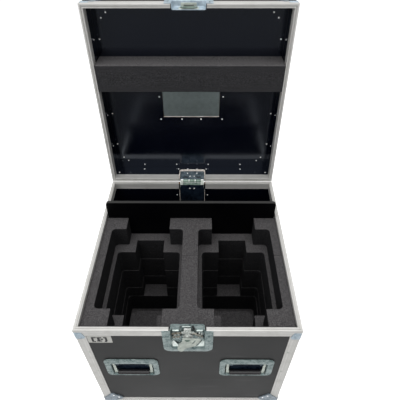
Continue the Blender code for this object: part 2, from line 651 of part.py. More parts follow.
def build():
    clear_scene()
    mats = make_materials()
    frame = empty("case_frame", None, (0, CENTRE_SHIFT, 0))
    lid = empty("lid_pivot", frame, (0, HALF_D, RIM_Z), (-LID_OPEN, 0, 0))
    base_panels(frame, mats)
    base_rim(frame, mats)
    corner_edges(frame, mats)
    add("base_bottom_frame", mitred_ring(angle_frame(CASTOR_H, 1)), mats["aluminium"], frame)
    foam_blocks(frame, mats)
    divider(frame, mats)
    lid_panels(lid, mats)
    lid_frames(lid, mats)
    lid_fittings(lid, mats)
    ball_corners(frame, lid, mats)
    latch(frame, mats)
    hinge(frame, lid, mats)
    handles(frame, mats)
    castors(frame, mats)


build()
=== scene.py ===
"""Looks of an open flight case for two moving head lights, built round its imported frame.

Pieces are drawn in millimetres. A place is the matrix that takes a drawing into the world, which
is in metres. Three places recur: CASE has its origin at the top of the front, with x to the right,
y into the case and z up from the rim; LID is the same at the hinge line, with the lid drawn as if
it were shut; BACK and LID_BACK look at the same things from behind.
"""
import json
import math

import bmesh
import bpy
from mathutils import Matrix, Vector

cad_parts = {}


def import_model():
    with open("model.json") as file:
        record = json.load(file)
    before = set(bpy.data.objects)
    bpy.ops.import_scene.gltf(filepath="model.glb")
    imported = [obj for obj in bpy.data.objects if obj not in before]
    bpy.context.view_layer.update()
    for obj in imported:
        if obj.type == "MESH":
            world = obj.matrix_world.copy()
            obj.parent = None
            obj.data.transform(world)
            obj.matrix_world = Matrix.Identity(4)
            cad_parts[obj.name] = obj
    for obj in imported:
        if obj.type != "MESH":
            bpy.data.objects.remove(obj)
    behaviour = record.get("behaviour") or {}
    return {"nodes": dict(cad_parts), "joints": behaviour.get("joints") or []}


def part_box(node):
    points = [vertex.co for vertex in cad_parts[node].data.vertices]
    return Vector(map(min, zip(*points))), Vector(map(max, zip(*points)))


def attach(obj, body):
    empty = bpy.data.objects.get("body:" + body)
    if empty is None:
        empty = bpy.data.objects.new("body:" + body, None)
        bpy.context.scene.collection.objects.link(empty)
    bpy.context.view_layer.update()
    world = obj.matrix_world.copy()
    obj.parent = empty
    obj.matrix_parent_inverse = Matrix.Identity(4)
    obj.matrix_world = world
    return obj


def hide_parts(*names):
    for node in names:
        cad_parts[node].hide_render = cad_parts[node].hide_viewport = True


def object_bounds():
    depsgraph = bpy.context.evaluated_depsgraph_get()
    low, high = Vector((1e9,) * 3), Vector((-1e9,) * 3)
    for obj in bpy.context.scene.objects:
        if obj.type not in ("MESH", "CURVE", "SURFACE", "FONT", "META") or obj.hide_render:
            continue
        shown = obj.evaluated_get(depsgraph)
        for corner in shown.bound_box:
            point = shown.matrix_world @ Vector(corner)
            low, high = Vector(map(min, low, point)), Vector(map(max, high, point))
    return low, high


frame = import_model()
CAD_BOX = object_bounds()


def shift(x, y, z):
    """A move, as a matrix."""
    return Matrix.Translation((x, y, z))


def tilt(degrees, axis="X"):
    """A turn about an axis through the origin, as a matrix."""
    return Matrix.Rotation(math.radians(degrees), 4, axis)


# ---- places and sizes from the frame ----
JOINTS = {joint["name"]: joint for joint in frame["joints"]}
HINGE = Vector(JOINTS["lid_hinge"]["pos_m"])
FOOT_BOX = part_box("base_bottom_frame")
FRONT_Y = FOOT_BOX[0].y
RIM_Z = HINGE.z
FLOOR_Z = CAD_BOX[0][2]
HALF_W = 1000 * FOOT_BOX[1].x
CASE_D = 1000 * (HINGE.y - FRONT_Y)
BASE_H = 1000 * (RIM_Z - FOOT_BOX[0].z)

MILLI = Matrix.Scale(0.001, 4)
CASE = shift(0, FRONT_Y, RIM_Z) @ MILLI
BACK = shift(0, HINGE.y, RIM_Z) @ tilt(180, "Z") @ MILLI
LID = shift(*HINGE) @ tilt(-JOINTS["lid_hinge"]["range_deg"][1]) @ MILLI
LID_FRONT = LID @ shift(0, -CASE_D, 0)
LID_BACK = LID @ tilt(180, "Z")
LID_H = max((LID.inverted() @ v.co).z for v in frame["nodes"]["lid_top_frame"].data.vertices)

# ---- sizes of the fittings, in millimetres ----
SKIN = 1.5               # wall of the extrusions
LEG = 30.5               # leg of the extrusions
PLY_OUT = 1.75           # outside of the case to the plywood
PLY_IN = 10.75           # outside of the case to its inner face
RIM_IN = 12              # outside of the case to the rim's inner leg
PARTING = 0.4            # parting plane to the rim
BAND = 11.8              # height of the thick band along each rim
GAP = 0.25               # between a fitting and what it lies on
SHEET = 1.2              # thickness of the pressed dishes
FLANGE_Y = -GAP - SHEET  # front face of a dish's flange
OPENING_HALF = 53        # half width of the gap in the rims at the latch and the hinge
TALL_DISH = ((-72.5, -122, 72.5, 122), (-48.5, -99, 48.5, 99))     # its flange and its opening
CORNERS = [(y, x) for y in ("front", "rear") for x in ("left", "right")]
SIDES = {"left": -1, "right": 1, "front": -1, "rear": 1}


# ---- outlines ----
def rounded(points, radius, segments=5):
    """Replaces each corner of an outline by an arc; radius 0 keeps it sharp."""
    radii = radius if isinstance(radius, (list, tuple)) else [radius] * len(points)
    outline = []
    for i, point in enumerate(points):
        corner = Vector(point)
        if radii[i] == 0:
            outline.append(corner)
            continue
        to_last = (Vector(points[i - 1]) - corner).normalized()
        to_next = (Vector(points[(i + 1) % len(points)]) - corner).normalized()
        half = to_last.angle(to_next) / 2
        centre = corner + (to_last + to_next).normalized() * radii[i] / math.sin(half)
        start = corner + to_last * radii[i] / math.tan(half) - centre
        end = corner + to_next * radii[i] / math.tan(half) - centre
        turn = math.copysign(math.pi - 2 * half, start.cross(end))
        for step in range(segments + 1):
            outline.append(centre + Matrix.Rotation(turn * step / segments, 2) @ start)
    return outline


def rectangle(x0, y0, x1, y1, radius=0, segments=5):
    return rounded([(x0, y0), (x1, y0), (x1, y1), (x0, y1)], radius, segments)


def arc(radius, degrees):
    """Points on a circle round the origin, at the given angles."""
    return [Vector((radius * math.cos(a), radius * math.sin(a))) for a in map(math.radians, degrees)]


def circle(radius, sides):
    return arc(radius, [360 * i / sides for i in range(sides)])


def mirrored(profile):
    """Completes the profile of a turned body that has two equal ends."""
    return profile + [(radius, -along) for radius, along in reversed(profile)]


# ---- bodies ----
def placed(point, axis, along):
    u, v = point
    return {"X": (along, u, v), "Y": (u, along, v), "Z": (u, v, along)}[axis]


def loft(loops, closed=False):
    """A closed body through equal loops. Its UVs run along the loft, in millimetres."""
    bm = bmesh.new()
    uv = bm.loops.layers.uv.new("along")
    rings = [[bm.verts.new(p) for p in loop] for loop in loops]
    around = [0.0]
    for i in range(len(loops[0])):
        j = (i + 1) % len(loops[0])
        around.append(around[-1] + (Vector(loops[0][j]) - Vector(loops[0][i])).length)
    pairs = list(zip(rings, rings[1:])) + ([(rings[-1], rings[0])] if closed else [])
    for first, second in pairs:
        for i in range(len(first)):
            j = (i + 1) % len(first)
            face = bm.faces.new((first[i], first[j], second[j], second[i]))
            run = (second[i].co - first[i].co).normalized()
            for loop, v in zip(face.loops, (around[i], around[i + 1], around[i + 1], around[i])):
                loop[uv].uv = (loop.vert.co.dot(run), v)
    if not closed:
        bm.faces.new(rings[0])
        bm.faces.new(rings[-1])
    return bm


def prism(outline, axis, start, end):
    return loft([[placed(p, axis, along) for p in outline] for along in (start, end)])


def plate(start, end, points, radius=0, segments=5, axis="Y"):
    """A flat plate with rounded corners, between two depths along an axis."""
    return prism(rounded(points, radius, segments), axis, start, end)


def strip(start, end, x0, y0, x1, y1, radius=0, segments=5, axis="Y"):
    """A rectangular plate."""
    return prism(rectangle(x0, y0, x1, y1, radius, segments), axis, start, end)


def both_plates(start, end, points, radius=0, segments=5):
    """A plate and its mirror image on the other side of x = 0."""
    return [plate(start, end, [(side * x, z) for x, z in points], radius, segments) for side in (-1, 1)]


def block(low, high):
    return strip(low[2], high[2], low[0], low[1], high[0], high[1], axis="Z")


def turned(profile, sides=32, axis="Y", closed=False):
    """A lathe body from (radius, along) pairs; the first and last close it, or meet."""
    return loft([[placed(p, axis, along) for p in circle(radius, sides)] for radius, along in profile],
                closed)


def together(*parts):
    """Several bmeshes in one; the parts stay separate bodies."""
    whole = bmesh.new()
    for part in parts:
        mesh = bpy.data.meshes.new("part")
        part.to_mesh(mesh)
        part.free()
        whole.from_mesh(mesh)
        bpy.data.meshes.remove(mesh)
    return whole


def moved(bm, matrix):
    bm.transform(matrix)
    return bm


# ---- pieces ----
def piece(name, bm, mat, body, place=CASE, stands_for=None, bevel=0, segments=2, cuts=()):
    """Puts a bmesh into the scene as a finished piece that rides on a CAD body."""
    bm.transform(place)
    bmesh.ops.recalc_face_normals(bm, faces=bm.faces)
    item = linked(name, bm)
    item.data.materials.append(mat)
    for tool in cuts:
        apply_boolean(item, moved(tool, place), "DIFFERENCE")
    item.data.shade_smooth()
    if bevel:
        edge = item.modifiers.new("edges", "BEVEL")
        edge.width = bevel / 1000
        edge.segments = segments
        edge.limit_method = "ANGLE"
        edge.angle_limit = math.radians(35)
        edge.harden_normals = True
    else:
        item.data.set_sharp_from_angle(angle=math.radians(38))
    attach(item, body)
    if stands_for:
        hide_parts(stands_for)
    return item


def linked(name, bm):
    """A new object in the scene, from a bmesh that is then freed."""
    mesh = bpy.data.meshes.new(name)
    bm.to_mesh(mesh)
    bm.free()
    item = bpy.data.objects.new(name, mesh)
    bpy.context.scene.collection.objects.link(item)
    return item


def apply_boolean(item, tool, operation):
    bmesh.ops.recalc_face_normals(tool, faces=tool.faces)
    cutter = linked("tool", tool)
    mod = item.modifiers.new("shape", "BOOLEAN")
    mod.operation = operation
    mod.solver = "EXACT"
    mod.object = cutter
    bpy.context.view_layer.update()
    graph = bpy.context.evaluated_depsgraph_get()
    shaped = bpy.data.meshes.new_from_object(item.evaluated_get(graph))
    item.modifiers.clear()
    item.data = shaped
    bpy.data.objects.remove(cutter, do_unlink=True)


def case_box(node):
    """The two corners of a node's box, as it lies in the CASE drawing."""
    to_case = CASE.inverted()
    return [to_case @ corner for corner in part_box(node)]


# ---- materials ----
class Paint:
    """A material with its node tree, and short calls for the nodes used here."""

    def __init__(self, name, colour, roughness, metallic=0.0):
        self.mat = bpy.data.materials.new(name)
        self.mat.use_nodes = True
        self.nodes = self.mat.node_tree.nodes
        self.links = self.mat.node_tree.links
        self.shader = self.nodes["Principled BSDF"]
        self.put("Base Color", colour)
        self.put("Roughness", roughness)
        self.put("Metallic", metallic)

    def feed(self, socket, value):
        """Sets an input, or links it to another node's output."""
        if isinstance(value, bpy.types.NodeSocket):
            self.links.new(value, socket)
        elif socket.type == "RGBA":
            socket.default_value = (*value, 1.0)
        else:
            socket.default_value = value

    def put(self, name, value):
        self.feed(self.shader.inputs[name], value)

    def coords(self, source="Object", scale=(1, 1, 1)):
        mapping = self.nodes.new("ShaderNodeMapping")
        mapping.inputs["Scale"].default_value = scale
        self.links.new(self.nodes.new("ShaderNodeTexCoord").outputs[source], mapping.inputs["Vector"])
        return mapping.outputs["Vector"]

    def noise(self, scale, detail=3.0, source="Object", stretch=(1, 1, 1)):
        node = self.nodes.new("ShaderNodeTexNoise")
        node.inputs["Scale"].default_value = scale
        node.inputs["Detail"].default_value = detail
        self.links.new(self.coords(source, stretch), node.inputs["Vector"])
        return node.outputs["Fac"]

    def cells(self, scale):
        node = self.nodes.new("ShaderNodeTexVoronoi")
        node.inputs["Scale"].default_value = scale
        self.links.new(self.coords(), node.inputs["Vector"])
        return node.outputs["Distance"]

    def span(self, value, low, high, out_low=0.0, out_high=1.0):
        """Maps a number from one range onto another, clamped."""
        node = self.nodes.new("ShaderNodeMapRange")
        ends = {"From Min": low, "From Max": high, "To Min": out_low, "To Max": out_high}
        for name, number in ends.items():
            node.inputs[name].default_value = number
        self.links.new(value, node.inputs["Value"])
        return node.outputs["Result"]

    def mix(self, fac, first, second):
        node = self.nodes.new("ShaderNodeMix")
        node.data_type = "RGBA"
        self.links.new(fac, node.inputs[0])
        self.feed(node.inputs[6], first)
        self.feed(node.inputs[7], second)
        return node.outputs[2]

    def calc(self, first, second, operation="ADD"):
        node = self.nodes.new("ShaderNodeMath")
        node.operation = operation
        self.feed(node.inputs[0], first)
        self.feed(node.inputs[1], second)
        return node.outputs[0]

    def along(self, source, vector):
        """How far a vector from the Texture Coordinate node points along a given one."""
        node = self.nodes.new("ShaderNodeVectorMath")
        node.operation = "DOT_PRODUCT"
        self.links.new(self.coords(source), node.inputs[0])
        node.inputs[1].default_value = vector
        return node.outputs["Value"]

    def bump(self, height, distance, strength=1.0):
        node = self.nodes.new("ShaderNodeBump")
        node.inputs["Strength"].default_value = strength
        node.inputs["Distance"].default_value = distance
        self.links.new(height, node.inputs["Height"])
        self.put("Normal", node.outputs["Normal"])


def aluminium():
    """Mill-finish extrusion: drawing lines along its length, faint scuffs and specks."""
    paint = Paint("aluminium_extrusion", (0.6, 0.6, 0.6), 0.42, 0.4)
    lines = paint.noise(1.0, 4.0, "UV", (0.004, 1.3, 1))
    broad = paint.noise(1.0, 2.0, "UV", (0.002, 0.32, 1))
    blots = paint.noise(30.0, 5.0)
    marks = paint.span(paint.noise(420.0, 2.0), 0.66, 0.74)
    clean = paint.mix(paint.span(lines, 0.3, 0.7), (0.41, 0.405, 0.39), (0.56, 0.555, 0.535))
    clean = paint.mix(paint.span(broad, 0.42, 0.62, 0.0, 0.5), clean, (0.66, 0.655, 0.64))
    worn = paint.mix(paint.span(blots, 0.45, 0.75, 0, 0.5), clean, (0.41, 0.405, 0.38))
    paint.put("Base Color", paint.mix(paint.span(marks, 0, 1, 0, 0.3), worn, (0.28, 0.28, 0.27)))
    paint.put("Roughness", paint.span(paint.calc(lines, blots), 0.7, 1.4, 0.3, 0.48))
    paint.bump(lines, 0.00015, 0.35)
    return paint.mat


def plated(name, dark, light, roughness=0.26, metallic=0.85):
    """Zinc-plated pressed steel: cloudy passivation colours and a fine grain."""
    paint = Paint(name, light, roughness, metallic)
    clouds = paint.noise(70.0, 4.0)
    grain = paint.noise(900.0, 2.0)
    spots = paint.span(paint.noise(260.0, 3.0), 0.62, 0.72, 0.0, 0.35)
    base = paint.mix(paint.span(clouds, 0.35, 0.68), dark, light)
    paint.put("Base Color", paint.mix(spots, base, tuple(0.55 * c for c in dark)))
    mottle = paint.calc(clouds, grain)
    paint.put("Roughness", paint.span(mottle, 0.7, 1.3, roughness - 0.07, roughness + 0.12))
    paint.bump(paint.calc(clouds, paint.calc(grain, 0.12, "MULTIPLY")), 0.0006, 0.35)
    return paint.mat


def laminate(name, outward):
    """Laminated plywood: grey grained face outside, layered cut edges, and a glossy inside face painted
    near-black with a blue tint as painted shade.
    """
    outside = (0.025, 0.025, 0.0245)
    paint = Paint(name, outside, 0.45)
    out_mask = paint.span(paint.along("Normal", outward), 0.4, 0.6)
    in_mask = paint.span(paint.along("Normal", outward), -0.6, -0.4, 1.0, 0.0)
    mottle = paint.noise(420.0, 3.0)
    scuffs = paint.span(paint.noise(9.0, 8.0, stretch=(1, 1, 6)), 0.6, 0.75, 0.0, 0.22)
    face = paint.mix(paint.span(mottle, 0.3, 0.7), tuple(c * 0.9 for c in outside),
                     tuple(c * 1.12 for c in outside))
    face = paint.mix(scuffs, face, (0.1, 0.1, 0.1))
    haze = paint.span(paint.noise(5.0, 4.0), 0.35, 0.75)
    # Painted shade: the inside face is painted far darker than the outside face.
    inner = paint.mix(haze, (0.0004, 0.001, 0.004), (0.002, 0.0026, 0.0055))
    depth = paint.calc(paint.along("Object", outward), 4200.0, "MULTIPLY")
    layers = paint.span(paint.calc(depth, 0.0, "SINE"), -0.4, 0.4)
    edge = paint.mix(layers, (0.21, 0.105, 0.05), (0.42, 0.25, 0.135))
    painted_shade_blend = paint.mix(in_mask, paint.mix(out_mask, edge, face), inner)
    paint.put("Base Color", painted_shade_blend)
    smooth = paint.span(haze, 0, 1, 0.11, 0.2)
    paint.put("Roughness", paint.calc(paint.calc(in_mask, -0.22, "MULTIPLY"), paint.calc(smooth, 0.24)))
    paint.put("IOR", 1.62)
    paint.put("Specular IOR Level", paint.span(in_mask, 0, 1, 0.1, 1.0))
    paint.put("Specular Tint", (0.78, 0.86, 1.0))
    paint.bump(paint.calc(mottle, out_mask, "MULTIPLY"), 0.0003, 0.5)
    return paint.mat


def divider_board():
    """Black board whose up-facing top edge is a lighter grey."""
    paint = Paint("divider_board", (0.006, 0.006, 0.007), 0.4)
    top = paint.span(paint.along("Normal", (0, 0, 1)), 0.5, 0.8)
    fibre = paint.noise(700.0, 3.0, stretch=(0.2, 3, 1))
    edge = paint.mix(fibre, (0.018, 0.018, 0.018), (0.042, 0.042, 0.041))
    haze = paint.noise(6.0, 5.0)
    face = paint.mix(haze, (0.0004, 0.0004, 0.0007), (0.0012, 0.0012, 0.0016))
    paint.put("Base Color", paint.mix(top, face, edge))
    paint.put("Roughness", paint.span(haze, 0.3, 0.7, 0.34, 0.55))
    paint.put("Specular IOR Level", 0.06)
    paint.bump(paint.noise(900.0, 2.0), 0.0002, 0.3)
    return paint.mat


def foam(name, shade):
    """Closed-cell packing foam: charcoal and speckled, with its walls painted darker and its up-facing faces
    paler, as painted shade and painted light.

    A higher shade is a paler foam. The case's foam and the lid bar's foam are one foam painted at two shades,
    a shaded copy and a lit copy.
    """
    paint = Paint(name, (0.05, 0.05, 0.052), 0.95)
    # Painted light and shade by which way a face points: up-facing faces take the paler top colour, walls the
    # darker wall colour.
    painted_shade_blend = paint.span(paint.along("Normal", (0, 0, 1)), 0.3, 0.8)
    speckle = paint.noise(430.0, 5.0)
    cells = paint.cells(520.0)
    patches = paint.noise(14.0, 4.0)
    combed = paint.noise(60.0, 4.0, stretch=(0.25, 0.25, 6))

    def tone(*colour):
        return tuple(shade * c for c in colour)

    top = paint.mix(paint.span(speckle, 0.34, 0.68), tone(0.02, 0.02, 0.022), tone(0.125, 0.12, 0.122))
    top = paint.mix(paint.span(patches, 0.3, 0.7, 0.0, 0.35), top, tone(0.066, 0.062, 0.063))
    wall = paint.mix(paint.span(speckle, 0.36, 0.7), tone(0.008, 0.008, 0.009), tone(0.036, 0.036, 0.038))
    wall = paint.mix(paint.span(combed, 0.35, 0.75, 0, 0.6), wall, tone(0.011, 0.011, 0.012))
    paint.put("Base Color", paint.mix(painted_shade_blend, wall, top))
    paint.put("Roughness", paint.span(cells, 0.1, 0.7, 0.82, 1.0))
    paint.put("Specular IOR Level", 0.1)
    paint.bump(paint.calc(speckle, cells), 0.0011, 0.9)
    return paint.mat


def rubbery(name, colour, roughness):
    """Moulded rubber, plastic or paint: finely grained and a little dusty."""
    paint = Paint(name, colour, roughness)
    fine = paint.noise(900.0)
    dust = paint.span(paint.noise(40.0, 6.0), 0.55, 0.8, 0.0, 0.3)
    paint.put("Base Color", paint.mix(dust, colour, tuple(0.06 + 0.6 * c for c in colour)))
    paint.put("Roughness", paint.span(fine, 0.3, 0.7, roughness - 0.08, roughness + 0.1))
    paint.bump(fine, 0.00025, 0.5)
    return paint.mat


def grained(name, dark, light, smooth, rough, scale, detail, bump):
    """A plain surface whose colour, roughness and relief all follow one fine noise."""
    paint = Paint(name, dark, rough)
    grain = paint.noise(scale, detail)
    paint.put("Base Color", paint.mix(grain, dark, light))
    paint.put("Roughness", paint.span(grain, 0.3, 0.7, smooth, rough))
    paint.bump(grain, 0.0001, bump)
    return paint


def glossy_rubber():
    """Black moulded grip: smooth enough to carry a soft highlight along its top."""
    paint = grained("black_grip", (0.006, 0.006, 0.007), (0.02, 0.018, 0.02), 0.14, 0.24, 60.0, 5.0, 0.3)
    paint.put("IOR", 1.6)
    paint.put("Specular IOR Level", 0.7)
    return paint.mat


ALUMINIUM = aluminium()
ZINC = plated("zinc_plate", (0.15, 0.21, 0.21), (0.38, 0.455, 0.45), 0.28, 0.7)
BLUE_ZINC = plated("blue_zinc", (0.3, 0.38, 0.44), (0.5, 0.59, 0.66), 0.34, 0.5)
BRIGHT = plated("bright_steel", (0.4, 0.42, 0.4), (0.74, 0.77, 0.74), 0.24, 0.6)
CORNER_ZINC = plated("corner_zinc", (0.15, 0.19, 0.22), (0.36, 0.42, 0.48), 0.3, 0.6)
# Pale, hardly metallic zinc: painted light, for small parts that stand out bright.
PAINTED_LIGHT_ZINC = plated("painted_light_zinc", (0.66, 0.74, 0.71), (0.86, 0.92, 0.88), 0.35, 0.1)
GREENISH = plated("greenish_zinc", (0.13, 0.19, 0.16), (0.3, 0.39, 0.33), 0.32, 0.5)
PAN = plated("pan_zinc", (0.36, 0.43, 0.43), (0.43, 0.51, 0.51), 0.44)
DARK_STEEL = plated("dark_steel", (0.11, 0.15, 0.18), (0.25, 0.31, 0.35), 0.28, 0.6)
# Zinc painted near-black and blue: painted shade, for dish floors that lie in shade.
PAINTED_SHADE_ZINC = plated("shaded_zinc", (0.004, 0.008, 0.018), (0.016, 0.026, 0.042), 0.3, 0.3)
PALE = plated("pale_zinc", (0.42, 0.46, 0.42), (0.6, 0.65, 0.59), 0.4, 0.5)
TAN = plated("passivated_steel", (0.2, 0.16, 0.11), (0.62, 0.57, 0.48), 0.3, 0.5)
# Rivet aluminium, partly its own pale colour and partly painted highlight: nearly white and hardly metallic,
# so the heads show bright.
RIVET_PAINTED_BRIGHT = plated("rivet_aluminium_painted_bright", (0.8, 0.81, 0.8), (0.95, 0.95, 0.94), 0.3, 0.15)
# Plywood's cut edge, painted far paler than the ply's own edge colour: partly the edge, partly painted
# highlight.
PLY_EDGE_HIGHLIGHT = plated("ply_edge_painted_highlight", (0.62, 0.54, 0.48), (0.82, 0.77, 0.72), 0.65, 0.0)
# Shaded copy of the foam, painted darker for the case.
FOAM = foam("charcoal_foam", 0.74)
BOARD = divider_board()
GRIP = glossy_rubber()
TYRE = rubbery("grey_tyre", (0.07, 0.095, 0.13), 0.55)
HUB_PLASTIC = rubbery("wheel_hub", (0.16, 0.165, 0.17), 0.45)
RED_PAINT = rubbery("red_pedal", (0.3, 0.022, 0.016), 0.4)
# Black for the label's print, and also for black plates that stand for the shade in slots and gaps: painted
# shade.
INK_AND_PAINTED_SHADE = rubbery("ink_and_painted_shade", (0.015, 0.015, 0.017), 0.5)
LABEL = grained("blank_label", (0.24, 0.24, 0.22), (0.38, 0.38, 0.36), 0.38, 0.6, 600.0, 3.0, 0.4).mat
# Lit copy of the same foam, painted paler for the lid bar.
LIT_BAR_FOAM = foam("lid_bar_foam_lit_copy", 1.24)


# ---- panels kept from the frame ----
def dress_panels():
    """Gives each plywood panel its laminate, with the direction that its outer face looks in."""
    walls = {"front": (0, -1, 0), "rear": (0, 1, 0), "left": (-1, 0, 0), "right": (1, 0, 0)}
    for body, place, end, rise in (("base", CASE, "bottom", -1), ("lid", LID, "top", 1)):
        for name, direction in {**walls, end: (0, 0, rise)}.items():
            node = f"{body}_{name}_panel"
            outward = (place.to_3x3() @ Vector(direction)).normalized()
            data = frame["nodes"][node].data
            data.materials.clear()
            data.materials.append(laminate(f"laminate_{node}", tuple(outward)))


def divider():
    low, high = case_box("divider_panel")
    outline = [(low.x, low.z), (high.x, low.z), (high.x, high.z), (low.x, high.z)]
    piece("divider_board", plate(low.y, high.y, outline, [0, 0, 12, 12], 8), BOARD, "base", CASE,
          "divider_panel", bevel=0.8)


# ---- extrusions ----
def depth_at(y_name, y):
    """A distance in from the front or from the rear, as a depth in the CASE drawing."""
    return y if y_name == "front" else CASE_D - y


def rim_outline(ridge):
    """Section of a rim: (inset from the outside, distance from the parting plane).

    A positive ridge is the base's tongue, and a negative one the lid's groove.
    """
    lip = 1.7 if ridge > 0 else 2.2
    centre, proud = 7, 0.4
    root = PARTING + SKIN + max(0, -ridge)
    score_lines = [(0, 27.2), (0.35, 26.9), (0, 26.6), (0, 19.6), (0.35, 19.3), (0, 19)]
    outer = [(0, BAND + proud), (-proud, BAND), (-proud, PARTING + 1.3), (0, PARTING + 0.4), (0.9, PARTING)]
    ridge_line = [(centre - lip, PARTING), (centre - lip + 0.3, PARTING - ridge),
                  (centre + lip - 0.3, PARTING - ridge), (centre + lip, PARTING)]
    inner = [(RIM_IN - 0.4, PARTING), (RIM_IN + 0.2, PARTING + 0.6), (RIM_IN + 0.2, BAND),
             (RIM_IN - 0.2, BAND + proud), (RIM_IN, LEG - 0.5), (RIM_IN - 0.5, LEG), (RIM_IN - 1, LEG),
             (RIM_IN - 1, root), (SKIN, root), (SKIN, LEG), (0.6, LEG), (0, LEG - 0.6)]
    return score_lines + outer + ridge_line + inner


def half_rim(outline, side, flip):
    """The rim on one side, from the front opening round to the rear one."""
    half_d = CASE_D / 2
    loops = []
    for sy, at_corner in ((-1, False), (-1, True), (1, True), (1, False)):
        loops.append([(side * (HALF_W - inset if at_corner else OPENING_HALF),
                       half_d + sy * (half_d - inset), flip * h) for inset, h in outline])
    return loft(loops)


def angle_frame(height, direction):
    """A mitred frame of angle extrusion, its upright leg rising in the given direction."""
    outer = rounded([(0, LEG), (0, 0), (LEG, 0)], [0.6, 2.4, 0.6], 4)
    section = [(p.x, p.y) for p in outer] + [(LEG, SKIN), (SKIN, SKIN), (SKIN, LEG)]
    half_d = CASE_D / 2
    loops = [[(sx * (HALF_W - inset), half_d + sy * (half_d - inset), height + direction * rise)
              for inset, rise in section] for sx, sy in ((-1, -1), (1, -1), (1, 1), (-1, 1))]
    return loft(loops, closed=True)


def extrusions():
    for name, side in (("left", -1), ("right", 1)):
        for body, place, ridge, flip in (("base", CASE, 1.8, -1), ("lid", LID_FRONT, -2.6, 1)):
            piece(f"{body}_rim_extrusion_{name}", half_rim(rim_outline(ridge), side, flip), ALUMINIUM, body,
                  place, f"{body}_rim_{name}")
    piece("base_foot_extrusion", angle_frame(-BASE_H, 1), ALUMINIUM, "base", CASE, "base_bottom_frame")
    piece("lid_top_extrusion", angle_frame(LID_H, -1), ALUMINIUM, "lid", LID_FRONT, "lid_top_frame")
    outline = rounded([(0, 0), (LEG, 0), (LEG, SKIN), (SKIN, SKIN), (SKIN, LEG), (0, LEG)],
                      [3, 0.7, 0, 0, 0, 0.7], 6)
    for y_name, x_name in CORNERS:
        post = [(SIDES[x_name] * (HALF_W - p.x), depth_at(y_name, p.y)) for p in outline]
        piece(f"corner_post_{y_name}_{x_name}", prism(post, "Z", LEG + GAP - BASE_H, -LEG - GAP),
              ALUMINIUM, "base", CASE, f"base_edge_{y_name}_{x_name}")


# ---- rivets ----
def rivet(centre, normal, radius=3.4, height=1.3):
    """Domed blind rivet with the dimple of its mandrel, its back sunk into the sheet."""
    profile = [(0.2, -0.6), (radius, -0.6), (radius, 0.3), (0.86 * radius, 0.68 * height),
               (0.55 * radius, 0.96 * height), (0.34 * radius, height), (0.26 * radius, 0.7 * height),
               (0.2, 0.7 * height)]
    facing = Vector((0, 0, 1)).rotation_difference(Vector(normal)).to_matrix().to_4x4()
    return moved(turned(profile, 12, "Z"), Matrix.Translation(centre) @ facing)


def rivet_group(name, places, body, place, mat=RIVET_PAINTED_BRIGHT, **size):
    heads = [rivet(centre, normal, **size) for centre, normal in places]
    piece(name, together(*heads), mat, body, place)


def spots(xs, zs, y=FLANGE_Y, normal=(0, -1, 0)):
    """Rivet places wherever one of some x meets one of some z; on a dish's flange if not told."""
    return [((x, y, z), normal) for x in xs for z in zs]


def flange_corners(flange, inset):
    x0, z0, x1, z1 = flange
    return spots((x0 + inset, x1 - inset), (z0 + inset, z1 - inset))


def shell_rivets():
    """Heads outside and tails inside, along the extrusions' legs."""
    leg_line = 21.5
    post_rows = (-131, -268)
    foot_rows = (-198, -65.5, 65.5, 198)
    foot_z = leg_line - BASE_H
    post_x = HALF_W - leg_line
    outside = spots((-post_x, post_x), post_rows, 0) + spots(foot_rows, (foot_z,), 0)
    outside += spots((-post_x, post_x), post_rows, CASE_D, (0, 1, 0))
    outside += spots(foot_rows, (foot_z,), CASE_D, (0, 1, 0))
    for sx in (-1, 1):
        for y in (leg_line, CASE_D - leg_line):
            outside += [((sx * HALF_W, y, z), (sx, 0, 0)) for z in post_rows]
        outside += [((sx * HALF_W, CASE_D / 2 + along, foot_z), (sx, 0, 0)) for along in foot_rows]
    inside = spots((23 - HALF_W, HALF_W - 23), post_rows, CASE_D - PLY_IN)
    inside += spots((-62.5, 62.5), (-63.6,), CASE_D - PLY_IN)
    rivet_group("base_outer_rivets", outside, "base", CASE, PALE)
    rivet_group("base_inner_rivets", inside, "base", CASE, radius=2.6)


def lid_rivets():
    """Along the lid's extrusions on both faces, and round the label dish."""
    leg_line = 21.5
    rows = (121, 254, 388, 521)
    columns = (-198, -65.5, 65.5, 198)
    ceiling = LID_H - PLY_IN
    inner = []
    outer = []
    for sx in (-1, 1):
        for s in rows:
            inner += [((sx * 297, -s, ceiling), (0, 0, -1)),
                      ((sx * (HALF_W - PLY_IN), -s - 6, 62.5), (-sx, 0, 0))]
            outer += [((sx * (HALF_W - leg_line), -s, LID_H), (0, 0, 1)),
                      ((sx * HALF_W, -s - 6, LID_H - leg_line), (sx, 0, 0))]
        for x, s in ((280, 57.5), (263.5, 41.3), (264, 602), (281, 586), (116, 320.8), (115.5, 231),
                     (36, 231), (116, 411), (36, 411)):
            inner.append(((sx * x, -s, ceiling), (0, 0, -1)))
    for x in columns:
        inner += [((x, -22.2, ceiling), (0, 0, -1)), ((x, 22 - CASE_D, ceiling), (0, 0, -1))]
        outer += [((x, -leg_line, LID_H), (0, 0, 1)), ((x, leg_line - CASE_D, LID_H), (0, 0, 1))]
    inner += spots((-298.5, 298.5), (45,), -PLY_IN)
    inner += spots((-198, -57, -19, 19, 57, 198), (68.5,), -PLY_IN)
    inner += spots((-198, 198), (68.5,), PLY_IN - CASE_D, (0, 1, 0))
    outer += spots((-198, 198), (LID_H - leg_line,), 0, (0, 1, 0))
    outer += spots((-198, 198), (LID_H - leg_line,), -CASE_D)
    rivet_group("lid_outer_rivets", outer, "lid", LID, PALE)
    rivet_group("lid_inner_rivets", inner, "lid", LID, radius=2.7, height=1.2)


